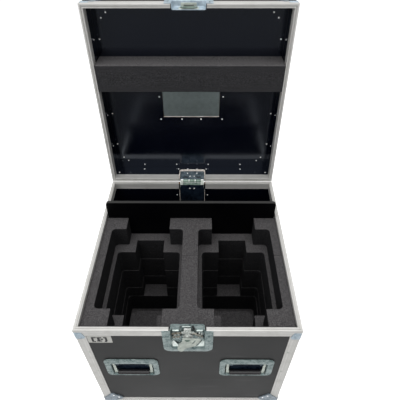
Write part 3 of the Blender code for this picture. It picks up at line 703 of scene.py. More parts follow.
# ---- corner caps ----
def wrapped_plate(sx, y_name, low_of, high_of, half_width):
    """A plate bent round an upright corner; its edges are given along its width."""
    thickness, bend, steps = 1.3, 4, 32
    bend_half = bend * math.pi / 4
    loops = []
    for i in range(steps + 1):
        u = half_width * (2 * i / steps - 1)
        if abs(u) < bend_half:
            angle = (u / bend_half + 1) * math.pi / 4
            base = Vector((bend - bend * math.sin(angle), bend - bend * math.cos(angle)))
            normal = Vector((-math.sin(angle), -math.cos(angle)))
        else:
            run = abs(u) - bend_half + bend
            base = Vector((run, 0)) if u < 0 else Vector((0, run))
            normal = Vector((0, -1)) if u < 0 else Vector((-1, 0))
        low, high = low_of(abs(u)), high_of(abs(u))
        loop = []
        for offset, z in ((0, low), (0.7 * thickness, low), (thickness, low + 0.6), (thickness, high - 0.6),
                          (0.7 * thickness, high), (0, high)):
            p = base + normal * (offset + 0.3)
            loop.append((sx * (HALF_W - p.x), depth_at(y_name, p.y), z))
        loops.append(loop)
    return loft(loops)


def rim_caps():
    """Bent zinc braces over the rim corners: flared towards their rounded lower edge."""
    for body, place, flip, drop, wide, narrow, rows in (
            ("base", CASE, 1, 46, 27.5, 20.5, (21, 36)), ("lid", LID_FRONT, -1, 27, 27, 21.5, (19.5,))):
        def lower_edge(u):
            corner = 10
            past = max(0, u - (wide - corner))
            return -(drop - corner + math.sqrt(max(0, corner ** 2 - past ** 2)))

        def upper_edge(u):
            flare = max(0, u - narrow) / (wide - narrow)
            return -BAND - flare * (drop - 23.5)
        for y_name, x_name in CORNERS:
            sx = SIDES[x_name]
            brace = wrapped_plate(sx, y_name, lower_edge, upper_edge, wide)
            if flip < 0:
                brace.transform(Matrix.Scale(-1, 4, (0, 0, 1)))
            heads = []
            for z in [-flip * row for row in rows]:
                heads.append(((sx * (HALF_W - 16.5), depth_at(y_name, -1.6), z), (0, SIDES[y_name], 0)))
                heads.append(((sx * (HALF_W + 1.6), depth_at(y_name, 16.5), z), (sx, 0, 0)))
            piece(f"{body}_rim_cap_{y_name}_{x_name}", brace, BLUE_ZINC, body, place)
            rivet_group(f"{body}_rim_cap_rivets_{y_name}_{x_name}", heads, body, place, BLUE_ZINC, radius=2.8)


def ball_corner():
    """Finer form of a ball corner, at the corner (0, 0, 0) facing +X +Y +Z."""
    off, sunk = 2.2, -1.6
    foot, shoulder, reach = 28, 34, 76
    leaf = rounded([(off, off), (-foot, off), (-reach, -shoulder), (-shoulder, -reach), (off, -foot)],
                   [0, 2, 9, 9, 2], 6)
    first = prism(leaf, "X", sunk, off)
    bmesh.ops.recalc_face_normals(first, faces=first.faces)
    shell = linked("corner_form", first)
    for axis in "YZ":
        apply_boolean(shell, prism(leaf, axis, sunk, off), "UNION")
    limit = block((-100, -100, -100), (off, off, off))
    edges = [e for e in limit.edges if all(max(v.co) > off - 0.01 for v in e.verts)]
    bmesh.ops.bevel(limit, geom=edges, offset=5.5, offset_type="OFFSET", segments=5, profile=0.5,
                    affect="EDGES")
    apply_boolean(shell, limit, "INTERSECT")
    bm = bmesh.new()
    bm.from_mesh(shell.data)
    bpy.data.objects.remove(shell, do_unlink=True)
    return bm


def ball_corners():
    form = ball_corner()
    heads = []
    for a, b in ((-40, -57.5), (-56.5, -41.3)):
        heads += [((a, b, 2.2), (0, 0, 1)), ((2.2, a, b), (1, 0, 0)), ((a, 2.2, b), (0, 1, 0))]
    for y_name, x_name in CORNERS:
        sx, sy = SIDES[x_name], SIDES[y_name]
        for body, place, height, sz in (("base", CASE, -BASE_H, -1), ("lid", LID_FRONT, LID_H, 1)):
            corner = shift(sx * HALF_W, depth_at(y_name, 0), height) @ Matrix.Diagonal((sx, sy, sz, 1))
            piece(f"{body}_ball_cap_{y_name}_{x_name}", form.copy(), CORNER_ZINC, body, place @ corner,
                  f"{body}_ball_corner_{y_name}_{x_name}")
            rivet_group(f"{body}_ball_cap_rivets_{y_name}_{x_name}", heads, body, place @ corner)
    form.free()


# ---- foam ----
def cavity(outer_x, inner_x, rear, front, notches, radius):
    (fx0, fx1, fy), (rx0, rx1, ry) = notches
    points = [(inner_x, front), (fx0, front), (fx0, fy), (fx1, fy), (fx1, front), (outer_x, front),
              (outer_x, rear), (rx1, rear), (rx1, ry), (rx0, ry), (rx0, rear), (inner_x, rear)]
    return rounded(points, [radius, 2, 2, 2, 2, radius, radius, 2, 2, 2, 2, radius], 7)


def foam_slab(name, x_half, y0, y1, z0, z1, holes, stands_for, extra=()):
    """One slab of foam with its cut-outs on both sides; its soft edges show every joint."""
    cuts = [prism([(side * p[0], p[1]) for p in outline], "Z", z0 - 10, z1 + 10)
            for outline in holes for side in (-1, 1)]
    item = piece(name, block((-x_half, y0, z0), (x_half, y1, z1)), FOAM, "base", CASE, stands_for,
                 bevel=1.4, segments=3, cuts=(*cuts, *extra))


def foam_insert():
    (_, front_top, _), (half_top, rear, _) = case_box("foam_top_sheet")
    front_low = case_box("foam_middle_block")[0].y
    half_low = case_box("foam_middle_block")[1].x
    floor = case_box("foam_bottom_block")[0].z
    low_top, high_top, seam = -97.75, -13, 277
    upper = cavity(279.5, 27, 395, 77, ((76, 229.5, 21.5), (76, 229.5, rear + 20)), 13)
    latch_pocket = block((-56, -10, -200), (56, 17.5, 20))
    foam_slab("foam_top_front", half_top, front_top, seam - 0.1, low_top, high_top, [upper],
              "foam_top_sheet", extra=[latch_pocket])
    foam_slab("foam_top_rear", half_top, seam + 0.1, rear, low_top, high_top, [upper], "foam_top_sheet")
    joints = [-98, -208, -322, -382]
    for n, (high, low) in enumerate(zip(joints, joints[1:])):
        step = 0.8 * n
        outline = cavity(266.5 - step, 40.5 + step, 359 - step, 104.5 + step,
                         ((100.5 + step, 205.5 - step, 48 + step), (101.5 + step, 202.5 - step, 416 - step)),
                         12)
        foam_slab(f"foam_middle_{n + 1}", half_low, front_low, rear, low + 0.2, high, [outline],
                  "foam_middle_block")
    trench = rounded([(43.5, 107), (63, 107), (63, 287.5), (244, 287.5), (244, 107), (263.5, 107),
                      (263.5, 357), (43.5, 357)], [0, 0, 26, 26, 0, 0, 12, 12], 9)
    base_top = -482
    foam_slab("foam_bottom_1", half_low, front_low, rear, base_top + 0.2, joints[-1], [trench],
              "foam_bottom_block")
    foam_slab("foam_bottom_2", half_low, front_low, rear, floor, base_top, [], "foam_bottom_block")


def lid_bar():
    """Foam pressure bar across the lid, notched for the label dish, with soft cut edges."""
    inverse = LID.inverted()
    corners = [inverse @ v.co for v in frame["nodes"]["lid_foam_bar"].data.vertices]
    low, high = [[pick(c[i] for c in corners) for i in range(3)] for pick in (min, max)]
    notch = block((-111.5, -405, LID_H - 16.5), (111.5, -360, LID_H))
    bar = piece("lid_pressure_bar", block(low, high), LIT_BAR_FOAM, "lid", LID, "lid_foam_bar",
                bevel=1.8, segments=3, cuts=[notch])


# ---- pressed dishes ----
def dish_body(flange, opening, depth, flange_radius=22):
    """Pressed sheet dish: x across, z up, y into the case, with rolled edges and a bead."""
    draft, fillet, roll, bead = 1.5, 4, 2.5, 0.5

    def ring(box, corner, grow, y):
        x0, z0, x1, z1 = box
        outline = rectangle(x0 - grow, z0 - grow, x1 + grow, z1 + grow, max(corner + grow, 0.8), 8)
        return [Vector((p.x, y, p.y)) for p in outline]

    def well(grow, y):
        return ring(opening, 7, grow, y)

    def rim(grow, y):
        return ring(flange, flange_radius, grow, y)

    def between(share, y):
        return [a.lerp(b, share) for a, b in zip(well(4, y), rim(-1, y))]
    bends = [(1 - math.sin(a), 1 - math.cos(a)) for a in (step * math.pi / 8 for step in range(5))]
    loops = [well(-draft - fillet * across, depth - SHEET - fillet * along) for across, along in bends]
    loops += [well(roll * along, FLANGE_Y + roll * across) for across, along in bends]
    loops += [between(0.12, FLANGE_Y), between(0.20, FLANGE_Y - bead), between(0.30, FLANGE_Y - bead),
              between(0.38, FLANGE_Y), rim(-1, FLANGE_Y), rim(-0.2, FLANGE_Y + 0.3), rim(0, FLANGE_Y + 0.8),
              rim(0, -GAP), well(SHEET, -GAP), well(SHEET - draft, depth - 2), well(SHEET - draft - 3, depth)]
    return loft(loops)


# ---- handles ----
def bail_arms(drop):
    """Two flat arms with round eyes, joined by a bar that runs through the grip."""
    arms = both_plates(-1.4, 1.4, [(54.5, 5), (63, 5), (63, -drop - 6.2), (52, -drop - 6.2),
                                   (52, -drop + 6.2), (54.5, -drop + 12)], [3, 3, 5, 1, 1, 4])
    return together(*arms, moved(turned(mirrored([(0.2, -52), (2.6, -52)]), 16, "X"), shift(0, 0, -drop)))


def handle_springs():
    """Pivot ears and torsion springs at the top of the dish."""
    ears, coils = [], []
    for side in (-1, 1):
        x = side * 60
        for inner in (4.6, -6.4):
            ears.append(strip(x + inner, x + inner + 1, 1, -231.5, 14.6, -214.5, 3, 4, "X"))
        for turn in range(6):
            coil = turned([(4, 0), (5, 0.2), (5.2, 0.6), (5, 1), (4, 1.2)], 20, "X")
            coils.append(moved(coil, shift(x - side * (8.5 + 1.6 * turn) - 0.6, 5, -222)))
    return together(*ears), together(*coils)


def handles():
    flange = (-85.5, -297, 85.5, -179)
    opening = (-67, -290.5, 67, -213)
    drop, grip_half, grip_radius = 59.5, 51.5, 8.2
    for y_name, x_name in CORNERS:
        mirror = 1 if y_name == "front" else -1
        face = (CASE if mirror == 1 else BACK) @ shift(mirror * SIDES[x_name] * 182.5, 0, 0)
        tag = f"{y_name}_{x_name}"
        piece(f"handle_pan_{tag}", dish_body(flange, opening, 16, 20), ZINC, "base", face,
              f"handle_dish_{tag}")
        floor = strip(14, 14.9, -62.5, -286, 62.5, -217.5, 5)
        rest = strip(13.3, 14.1, -48, -256, 48, -250, 3)
        # The dish's floor and the grip's rest are painted dark: painted shade inside the handle dish.
        piece(f"handle_pan_floor_{tag}", together(floor, rest), PAINTED_SHADE_ZINC, "base", face)
        rivet_group(f"handle_pan_rivets_{tag}", flange_corners(flange, 8.5), "base", face, ZINC, radius=3)
        ears, coils = handle_springs()
        piece(f"handle_ears_{tag}", ears, ZINC, "base", face)
        piece(f"handle_springs_{tag}", coils, DARK_STEEL, "base", face)
        pivot = face @ shift(0, 5, -222)
        piece(f"handle_arms_{tag}", bail_arms(drop), PALE, f"handle_{tag}", pivot, bevel=0.5)
        sleeve = turned(mirrored([(2.4, -grip_half), (grip_radius - 1.2, -grip_half),
                                  (grip_radius, 1.4 - grip_half)]), 32, "X")
        piece(f"handle_grip_{tag}", moved(sleeve, shift(0, -1.2, -drop)), GRIP, f"handle_{tag}", pivot,
              f"handle_bail_{tag}")


# ---- latch ----
def latch():
    trim = block((-200, -50, -PARTING), (200, 50, 300))
    piece("latch_pan", dish_body(*TALL_DISH, 14), ZINC, "base", CASE, "latch_dish", cuts=[trim])
    piece("latch_tab", strip(12.9, 13.9, -48.2, -30, 48.2, 12.5, 7, 8), ZINC, "base", bevel=0.4)
    rivet_group("latch_pan_rivets", spots((-60, 60), (-30, -60, -90)) + spots((-47, 47), (-110.5,)), "base",
                CASE, ZINC, radius=3)
    latch_plates()
    latch_springs()
    latch_turntable()
    latch_wing()
    latch_hook()


def latch_plates():
    """Fixed plates in the recess: two shoulders with lower lips painted light, and the guide between them."""
    shoulders = both_plates(11.6, 13.1, [(24, -16), (45, -16), (45, 8.5), (24, 8.5)], [1, 6, 5, 1], 6)
    shoulders += both_plates(10.4, 12, [(19, -85), (45, -70), (45, -26), (19, -26)], 3, 4)
    lips = both_plates(8.6, 12.2, [(25, -18.5), (43, -18.5), (43, -15), (25, -15)], [1.6, 1.6, 1, 1])
    gussets = both_plates(0, 0.8, [(47, 0), (47, 18.5), (42, 18.5), (26.5, 0)])
    guide = plate(12, 13.1, [(-20.5, -18), (14, -18), (11, 3), (-17, 3)], 2)
    bar = strip(11.2, 12.4, -14.5, 0, 8.5, 2.9, 0.8)
    link = plate(8.6, 10.8, [(-4.5, -34), (4.5, -34), (3.5, -18), (-3.5, -18)], 1, 3)
    piece("latch_shoulders", together(*shoulders, guide), ZINC, "base", bevel=0.4)
    piece("latch_lips", together(*lips, bar, link), PAINTED_LIGHT_ZINC, "base", bevel=0.4)
    # The gussets and the sill low in the recess are painted light, as bright patches.
    leaning = moved(together(*gussets), shift(0, 3.6, -97) @ tilt(-30))
    sill = strip(2.8, 4.4, -45, -98.4, 45, -96.8, 0.6)
    piece("latch_gussets", together(leaning, sill), PAINTED_LIGHT_ZINC, "base")
    # Black plates where a slot and an edge show only shade: painted shade.
    slot = plate(11.3, 13, [(12.8, 2.9), (17, 2.9), (22.2, -17.5), (16, -17.5)], 1.2, 4)
    edge = plate(11.3, 13, [(-20, 2.9), (-18.2, 2.9), (-21, -10), (-22.2, -10)], 0.4, 2)
    piece("latch_slots", together(slot, edge), INK_AND_PAINTED_SHADE, "base")


def coil_spring(start, end, radius, turns):
    """A compression spring drawn as close rings between two points."""
    wire = 0.6
    start, end = Vector(start), Vector(end)
    run = end - start
    facing = Vector((0, 0, 1)).rotation_difference(run).to_matrix().to_4x4()
    section = [(radius, -wire), (radius + wire, 0), (radius, wire), (radius - wire, 0)]
    return together(*[moved(turned(section, 20, "Z", closed=True),
                            Matrix.Translation(start + run * n / (turns - 1)) @ facing)
                      for n in range(turns)])


def latch_springs():
    """Springs, studs and clips round the cam."""
    springs = [coil_spring((-44, 7.2, -30), (-18.5, 7.2, -25), 2.8, 9),
               coil_spring((-43, 7.6, -50), (-23, 7.6, -47), 2.6, 7),
               coil_spring((15, 7.2, -26), (40, 7.2, -44), 2.8, 9)]
    piece("latch_springs", together(*springs), TAN, "base")
    stud = [(0.2, 7), (1.8, 7.2), (2.6, 8.4), (2.6, 11), (0.2, 11)]
    studs = [moved(turned(stud, 18), shift(x, 0, z))
             for x, z in ((-37, -40), (-26, -38), (-40, -60), (-28, -57), (33, -29), (40, -33), (40.5, -56),
                          (30, -56))]
    piece("latch_studs", together(*studs), BRIGHT, "base")
    clips = [strip(8, 10.5, x - 2.2, z - 2.2, x + 2.2, z + 2.2, 1, 3)
             for x, z in ((-33, -34), (-20, -33), (-43, -44), (28, -33), (43, -49), (-19, -42))]
    piece("latch_clips", together(*clips), INK_AND_PAINTED_SHADE, "base", bevel=0.3)


def hub_place():
    axis = Vector(JOINTS["wing_fold"]["axis"])
    return CASE @ shift(0, 0, -47) @ Matrix.Rotation(math.atan2(axis.z, -axis.x), 4, "Y")


def latch_turntable():
    profile = [(0.2, 2.6), (3.4, 2.6), (4, 3.1), (4.6, 2.6), (6.6, 2.6), (7, 3), (7, 4.6), (10, 4.8),
               (10.6, 4.3), (11.9, 4.3), (12.5, 4.9), (12.5, 6), (14.6, 6.2), (15, 6.6), (15, 12), (0.2, 12)]
    slot = block((-6.8, 0, -1.1), (6.8, 3.6, 1.1))
    piece("latch_turntable", turned(profile, 48), BRIGHT, "latch_hub", hub_place(), "latch_cam", cuts=[slot])


def latch_wing():
    """Folding wing: a plate with a pressed hollow, a crescent slot and a padlock eye."""
    wing = plate(-1.1, 1.1, [(-15, 1.2), (-16, -12), (-25, -21), (-28, -33), (-28, -42), (-22, -49.5),
                             (-12.5, -49.5), (-9, -43), (-6, -38.5), (9, -32), (24, -24.5), (32.5, -14),
                             (37.5, -5), (37, 1.2)], [1, 6, 6, 5, 6, 6, 6, 3, 4, 8, 8, 6, 3, 2])
    sweep = range(-52, -11, 4)
    crescent = plate(-10, 10, arc(23.5, sweep) + arc(20.5, sweep)[::-1])
    pocket = [(7.8 * p.x - 1, 7.2 * p.y - 4) for p in arc(1, range(180, 361, 10))]
    eye_spot = shift(-19.5, 0, -36)
    eye = moved(prism(circle(2.6, 20), "Y", -10, 10), eye_spot)
    place = hub_place() @ shift(0, 0.5, 0) @ tilt(JOINTS["wing_fold"]["range_deg"][0])
    piece("latch_wing_plate", wing, PALE, "latch_wing", place, "latch_wing", bevel=0.4,
          cuts=[eye, crescent, prism(pocket, "Y", -10, -0.2)])
    # A darker disc at the floor of the pressed hollow: painted shade in the hollow.
    piece("latch_wing_hollow_painted_shade", prism(pocket, "Y", -0.4, 0.1), GREENISH, "latch_wing", place)
    ring = turned([(2.8, -0.8), (3.2, -1.6), (4.4, -1.6), (4.8, -0.8)], 28)
    barrel = turned([(0.2, -15), (1.4, -15), (1.7, -14.6), (1.7, 36.6), (1.4, 37), (0.2, 37)], 18, "X")
    piece("latch_wing_press", together(moved(ring, eye_spot), moved(barrel, shift(0, 0, 0.2))), PALE,
          "latch_wing", place)


def latch_hook():
    """Draw hook: broad foot, narrow neck with a slot, and a folded nose."""
    hook = plate(-1, 1, [(-19.5, -4), (19.5, -4), (19, 8.5), (10, 15), (10, 35), (-10, 35), (-10, 15),
                         (-19, 8.5)], [2, 2, 3, 4, 2, 2, 4, 3], 4)
    slot = strip(-10, 10, -5, 16.5, 5, 27, 3, 6)
    nose = strip(-9.5, 9.5, 0.5, 33, 3.2, 35, 0.8, axis="X")
    ribs = [strip(-1.9, 0, -18, -0.5, 18, 1.8, 0.8)]
    ribs += [strip(-1.5, 0, x - 0.9, 10, x + 0.9, 30, 0.6) for x in (-8, 8)]
    place = CASE @ shift(0, 7.7, -27) @ tilt(JOINTS["hook_tilt"]["range_deg"][1])
    piece("latch_hook_plate", hook, BRIGHT, "latch_hook", place, "latch_hook", bevel=0.4, cuts=[slot])
    piece("latch_hook_press", together(nose, *ribs), BRIGHT, "latch_hook", place)


def keeper():
    dish = dish_body((-72.5, -62, 72.5, 62), (-50.5, -33, 50.5, 33), 17)
    trim = block((-200, -50, -300), (200, 50, PARTING))
    piece("keeper_pan", dish, BLUE_ZINC, "lid", LID_FRONT, "latch_keeper_dish", cuts=[trim])
    catch = plate(-18, 18, [(16.5, 18), (11.2, 18), (11.2, 5.5), (9.8, 5.5), (9.8, 3.5), (12.4, 3.5),
                            (12.4, 16.5), (16.5, 16.5)], 0.4, 2, "X")
    sides = [strip(side * 20.5, side * 22.2, 8.5, 3.4, 11.2, 21.5, 1, axis="X") for side in (-1, 1)]
    heads = [rivet((x, 14.6, 24.5), (0, -1, 0), 2.6) for x in (-24, 24)]
    piece("keeper_catch", together(catch, *sides, *heads), GREENISH, "lid", LID_FRONT)
    piece("keeper_back_plate", strip(14.6, 15.8, -30, 5.5, 30, 29, 4), PALE, "lid", LID_FRONT, bevel=0.4)
    piece("keeper_block", strip(1.6, 10.8, -23.5, 15, 23.5, 20, 1), PALE, "lid", LID_FRONT, bevel=0.5)
    # The keeper's strip is painted light, as a bright line.
    piece("keeper_strip", block((-22.5, 11.6, 14.1), (22.5, 12.7, 15.2)), PAINTED_LIGHT_ZINC, "lid", LID_FRONT)
    # Black blocks where the keeper's slots show only shade: painted shade.
    slots = [block((-15, 6.8, 14.6), (15, 8.8, 15.2)), block((-25, 13.4, 13.8), (25, 14.4, 15.2))]
    piece("keeper_slots", together(*slots), INK_AND_PAINTED_SHADE, "lid", LID_FRONT)
    rivet_group("keeper_rivets", spots((-61, 61), (12, 36)) + spots((-40, 40), (50,)), "lid", LID_FRONT,
                ZINC, radius=3)


# ---- lid hinge ----
def eye_outline(reach, drop):
    """Section of a hinge leaf: an eye round the pin, and a foot that reaches out and drops."""
    eye = arc(4.5, [45 + 11.25 * i for i in range(17)])
    return [*eye, Vector((0, -drop)), Vector((reach, -drop)), Vector((reach, -1.5))]


def hinge():
    base_trim = block((-200, -50, -3), (200, 50, 300))
    # The base's hinge dish is painted dark: painted shade in the rear recess.
    piece("hinge_pan_base", dish_body(*TALL_DISH, 20.5), PAINTED_SHADE_ZINC, "base", BACK, "hinge_dish_base",
          cuts=[base_trim])
    lugs = [plate(side * 36.2, side * 47.2, eye_outline(20, 16), axis="X") for side in (-1, 1)]
    piece("hinge_lugs_base", together(*lugs), PALE, "base", BACK, bevel=0.3)
    base_spots = spots((-8.5, 8.5), (-20.4,), 20.5, (0, 1, 0)) + spots((-61, 61), (-20, -60, -100))
    rivet_group("hinge_base_rivets", base_spots, "base", BACK, radius=2.8)
    lid_dish = dish_body((-72.5, -90, 72.5, 90), (-48.5, -60, 48.5, 60), 8)
    lid_trim = block((-200, -50, -300), (200, 50, 3))
    piece("hinge_pan_lid", lid_dish, DARK_STEEL, "lid", LID_BACK, "hinge_dish_lid", cuts=[lid_trim])
    lug = [(p.x, -p.y) for p in eye_outline(7.5, 14)]
    knuckles = [plate(start, start + 22.2, lug, axis="X") for start in (-35.8, -11.1, 13.6)]
    piece("hinge_knuckles_lid", together(*knuckles), GREENISH, "lid", LID_BACK, bevel=0.3)
    # Black strips where the hinge's slots show only shade: painted shade.
    slots = [strip(7.8, 9.8, x0, 13.5, x0 + 18.5, 18, 1) for x0 in (-34, 15.5)]
    piece("hinge_slots_lid", together(*slots), INK_AND_PAINTED_SHADE, "lid", LID_BACK)
    lid_spots = spots((-19, 19), (43,), 8.2, (0, 1, 0)) + spots((-8.5, 8.5), (23,), 8.2, (0, 1, 0))
    rivet_group("hinge_lid_rivets", lid_spots + spots((-61, 61), (20, 70)), "lid", LID_BACK, radius=2.8)
    bridge = strip(-35.5, 35.5, 5.2, -4.8, 20.4, -3.6, 0.3, axis="X")
    sweep = range(-35, -96, -6)
    lip = plate(-35.5, 35.5, arc(5.9, sweep) + arc(5, sweep)[::-1], axis="X")
    piece("hinge_bridge", together(bridge, lip), GREENISH, "base", BACK)
    rod = turned(mirrored([(0.2, -47.8), (3, -47.8), (3.4, -47.4), (2.1, -47.1)]), 24, "X")
    piece("hinge_rod", rod, PALE, "base", BACK, "hinge_pin")


# ---- label dish, liners and sticker ----
def label_dish():
    place = LID @ shift(0, -321, LID_H) @ tilt(-90)
    flange = (-122.5, -95.5, 122.5, 95.5)
    dish = dish_body(flange, (-103.2, -77.2, 103.2, 77.2), 15, 14)
    piece("label_pan", dish, PAN, "lid", place, "label_dish")
    rivet_group("label_pan_rivets", flange_corners(flange, 7.5) + spots((-36, 36), (-88, 88)), "lid", place,
                PAN, radius=2.8)
    # A pale strip on the cut edge below the dish: partly the ply's edge, partly a painted highlight line.
    ledge = strip(10.2, 11.8, -104, 77.9, 104, 79.9, 0.6)
    piece("label_cutout_edge", ledge, PLY_EDGE_HIGHLIGHT, "lid", place)


def hinge_liners():
    """Pale liners over the plywood's cut edges round the hinge openings, painted light as a highlight along
    the edges.
    """
    def arch(half, root, far, corner):
        return rounded([(-half, root), (-half, far), (half, far), (half, root)], [0, corner, corner, 0], 8)

    for body, place, root, tip in (("lid", LID_BACK, 6, 63), ("base", BACK, -36, -103.5)):
        outline = arch(52, root, tip + math.copysign(1.8, tip), 10) + arch(50, root, tip, 8)[::-1]
        piece(f"hinge_liner_{body}", prism(outline, "Y", 2, 11.4), PLY_EDGE_HIGHLIGHT, body, place)


def rim_end_painted_shadows():
    """Black blocks in the gaps between the ends of the front rims and the latch dishes: painted shadow."""
    for body, place, z0, z1 in (("base", CASE, -12.5, -PARTING), ("lid", LID_FRONT, PARTING, 12.5)):
        strips = [block((x, 0.2, z0), (x + 2.1, BAND, z1)) for x in (-52.9, 50.8)]
        piece(f"rim_end_painted_shadows_{body}", together(*strips), INK_AND_PAINTED_SHADE, body, place)


def sticker():
    """Blank pale label with a plain pattern of blocks in place of its print."""
    x0, x1, z0, z1 = -288.8, -218.5, -73.5, -33.5
    paper = strip(PLY_OUT - 0.6, PLY_OUT + 0.2, x0, z0, x1, z1, 1.5)
    piece("blank_label_plate", paper, LABEL, "base", bevel=0.1)
    blocks = ((12, 5, 18, 33), (18, 27, 26, 33), (18, 5, 23, 10), (26, 7, 41, 13), (29, 13, 36, 27),
              (38, 17, 45, 24), (28, 27, 42, 32), (48, 5, 55, 10), (51, 10, 57, 27), (47, 27, 57, 33))
    bars = [strip(PLY_OUT - 0.9, PLY_OUT, x0 + a, z0 + b, x0 + c, z0 + d, 1.2) for a, b, c, d in blocks]
    piece("blank_label_bars", together(*bars), INK_AND_PAINTED_SHADE, "base")


# ---- castors ----
def castor(y_name, x_name):
    tag = f"{y_name}_{x_name}"
    pivot = Vector(JOINTS[f"castor_swivel_{tag}"]["pos_m"])
    axle = Vector(JOINTS[f"wheel_spin_{tag}"]["pos_m"])
    spot = shift(pivot.x, pivot.y, FLOOR_Z) @ MILLI
    base_plate = strip(121.7, 124.7, -37.5, -37.5, 37.5, 37.5, 6, axis="Z")
    nuts = [moved(prism(circle(5.8, 6), "Z", 118.2, 121.9), shift(x, y, 0))
            for x in (-28, 28) for y in (-28, 28)]
    piece(f"castor_plate_{tag}", together(base_plate, *nuts), ZINC, "base", spot, bevel=0.4)
    race = turned([(12, 106), (25, 106), (29, 107.8), (30.5, 111), (30.5, 115.5), (28.5, 118),
                   (28.5, 119.5), (30, 121.2), (12, 121.2)], 40, "Z")
    crown = strip(108.5, 111.8, -24.5, -23, 24.5, 27, 8, 6, "Z")
    cheeks = [plate(side * 21.5, side * 24.5, [(-22, 111.5), (16, 37), (44, 37), (26, 111.5)],
                    [0, 12, 12, 0], 8, "X") for side in (-1, 1)]
    bolt = [turned(mirrored([(0.2, -28.5), (5.6, -28.5), (5.8, -28)]), 24, "X")]
    bolt += [prism(circle(8.6, 6), "X", side * 24.6, side * 27.6) for side in (-1, 1)]
    at_axle = shift(*(spot.inverted() @ axle))
    piece(f"castor_fork_form_{tag}", together(race, crown, *cheeks, moved(together(*bolt), at_axle)), ZINC,
          f"fork_{tag}", spot, f"castor_fork_{tag}", bevel=0.5)
    castor_wheel(tag, shift(*axle) @ MILLI)


def castor_wheel(tag, place):
    tread = [(37.5, -15), (44, -16), (47, -15.6), (49.1, -13.8), (50, -9.5), (50, -5.5), (49.4, -5),
             (49.4, -4), (50, -3.5)]
    piece(f"castor_tyre_{tag}", turned(mirrored(tread), 64, "X", closed=True), TYRE, f"wheel_{tag}", place,
          f"castor_wheel_{tag}")
    hub = [(6.5, -18), (12, -18), (13, -17.2), (15, -7.5), (17, -6.6), (34, -6.6), (36.2, -8),
           (37.2, -14.4), (37.8, -14.6)]
    ribs = [moved(block((-12, 13.5, -1.3), (12, 36.8, 1.3)), tilt(45 * n)) for n in range(8)]
    piece(f"castor_hub_{tag}", together(turned(mirrored(hub), 64, "X", closed=True), *ribs), HUB_PLASTIC,
          f"wheel_{tag}", place)


def brake_pedals():
    slope = Matrix.Rotation(math.atan2(-13, 41), 4, "X") @ shift(0, 0, 4.7)
    for x_name in ("left", "right"):
        pivot = JOINTS[f"brake_pedal_{x_name}"]["pos_m"]
        pedal = plate(-14, 14, [(-3, 4), (3, 4), (44, -9), (44, -12), (40, -12), (-3, -3)],
                      [1, 2, 1, 1, 1, 1], 3, "X")
        ridges = [moved(strip(-11.5, 11.5, y, -1.2, y + 2, 0.6, axis="X"), slope)
                  for y in (19.5, 24.5, 29.5, 34.5)]
        piece(f"pedal_form_{x_name}", together(pedal, *ridges), RED_PAINT, f"brake_{x_name}",
              shift(*pivot) @ MILLI, f"castor_brake_{x_name}", bevel=0.4)


# ---- stage ----
def stage():
    """A wide white floor under the castors, in metres."""
    bm = bmesh.new()
    bmesh.ops.create_grid(bm, x_segments=4, y_segments=4, size=30.0)
    floor = linked("studio_floor", bm)
    floor.location.z = FLOOR_Z
    paint = Paint("white_floor", (0.93, 0.93, 0.93), 0.8)
    paint.put("Base Color", paint.mix(paint.noise(2.0), (0.92, 0.92, 0.92), (0.94, 0.94, 0.94)))
    paint.put("Specular IOR Level", 0.1)
    paint.put("Emission Color", (1, 1, 1))
    paint.put("Emission Strength", 0.30)
    floor.data.materials.append(paint.mat)
    floor.visible_glossy = False


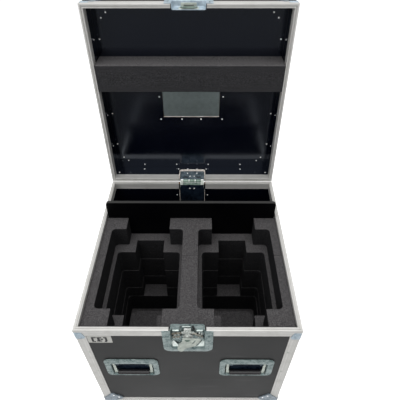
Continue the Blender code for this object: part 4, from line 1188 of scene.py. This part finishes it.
def world():
    """Soft surround: bright above and close in below, dimmer towards the horizon."""
    surround = bpy.data.worlds.new("soft_studio")
    surround.use_nodes = True
    nodes, links = surround.node_tree.nodes, surround.node_tree.links
    split = nodes.new("ShaderNodeSeparateXYZ")
    links.new(nodes.new("ShaderNodeTexCoord").outputs["Generated"], split.inputs[0])
    ramp = nodes.new("ShaderNodeValToRGB")
    scaled = nodes.new("ShaderNodeMapRange")
    scaled.inputs["From Min"].default_value = -1.0
    links.new(split.outputs["Z"], scaled.inputs["Value"])
    links.new(scaled.outputs["Result"], ramp.inputs["Fac"])
    stops = ((0.0, 0.75), (0.12, 0.55), (0.20, 0.24), (0.265, 0.04), (0.30, 0.06), (0.35, 0.12),
             (0.50, 0.16), (0.62, 0.38), (0.80, 0.80), (1.0, 0.95))
    ramp.color_ramp.elements[0].position, ramp.color_ramp.elements[-1].position = 0.0, 1.0
    for position, _ in stops[1:-1]:
        ramp.color_ramp.elements.new(position)
    for element, (_, value) in zip(ramp.color_ramp.elements, stops):
        element.color = (value, value, value, 1)
    links.new(ramp.outputs["Color"], nodes["Background"].inputs["Color"])
    nodes["Background"].inputs["Strength"].default_value = 1.0
    bpy.context.scene.world = surround


def area_light(name, location, target, size, power):
    data = bpy.data.lights.new(name, "AREA")
    data.shape = "RECTANGLE"
    data.size, data.size_y = size
    data.energy = power
    lamp = bpy.data.objects.new(name, data)
    lamp.location = location
    lamp.rotation_euler = (Vector(target) - Vector(location)).to_track_quat("-Z", "Y").to_euler()
    lamp.visible_glossy = False
    bpy.context.scene.collection.objects.link(lamp)


def lights():
    area_light("overhead", (0.0, -0.3, 3.6), (0, 0, 0.6), (3.6, 3.0), 95)
    area_light("front_fill", (-1.7, -2.5, 2.3), (0, 0, 0.5), (2.0, 1.6), 40)


def camera():
    """Standing in front of the case, looking down into it."""
    yaw, pitch, roll = math.radians(-0.3819), math.radians(43.455), math.radians(-0.154)
    data = bpy.data.cameras.new("camera")
    data.sensor_width = 36.0
    data.lens = 33.355
    data.shift_y = 0.0128
    forward = Vector((math.sin(yaw) * math.cos(pitch), math.cos(yaw) * math.cos(pitch), -math.sin(pitch)))
    level = Vector((math.cos(yaw), -math.sin(yaw), 0.0))
    upright = level.cross(forward)
    right = level * math.cos(roll) + upright * math.sin(roll)
    up = upright * math.cos(roll) - level * math.sin(roll)
    view = Matrix((right, up, -forward)).transposed().to_4x4()
    item = bpy.data.objects.new("camera", data)
    item.matrix_world = Matrix.Translation((0.0393, FRONT_Y - 0.505, RIM_Z + 0.958)) @ view
    bpy.context.scene.collection.objects.link(item)
    bpy.context.scene.camera = item


def build():
    bpy.context.scene.view_settings.view_transform = "Standard"
    for step in (camera, lights, world, stage, dress_panels, divider, extrusions, shell_rivets, lid_rivets,
                 rim_caps, ball_corners, foam_insert, lid_bar, handles, latch, keeper, hinge, label_dish,
                 hinge_liners, rim_end_painted_shadows, sticker):
        step()
    for y_name, x_name in CORNERS:
        castor(y_name, x_name)
    brake_pedals()


build()
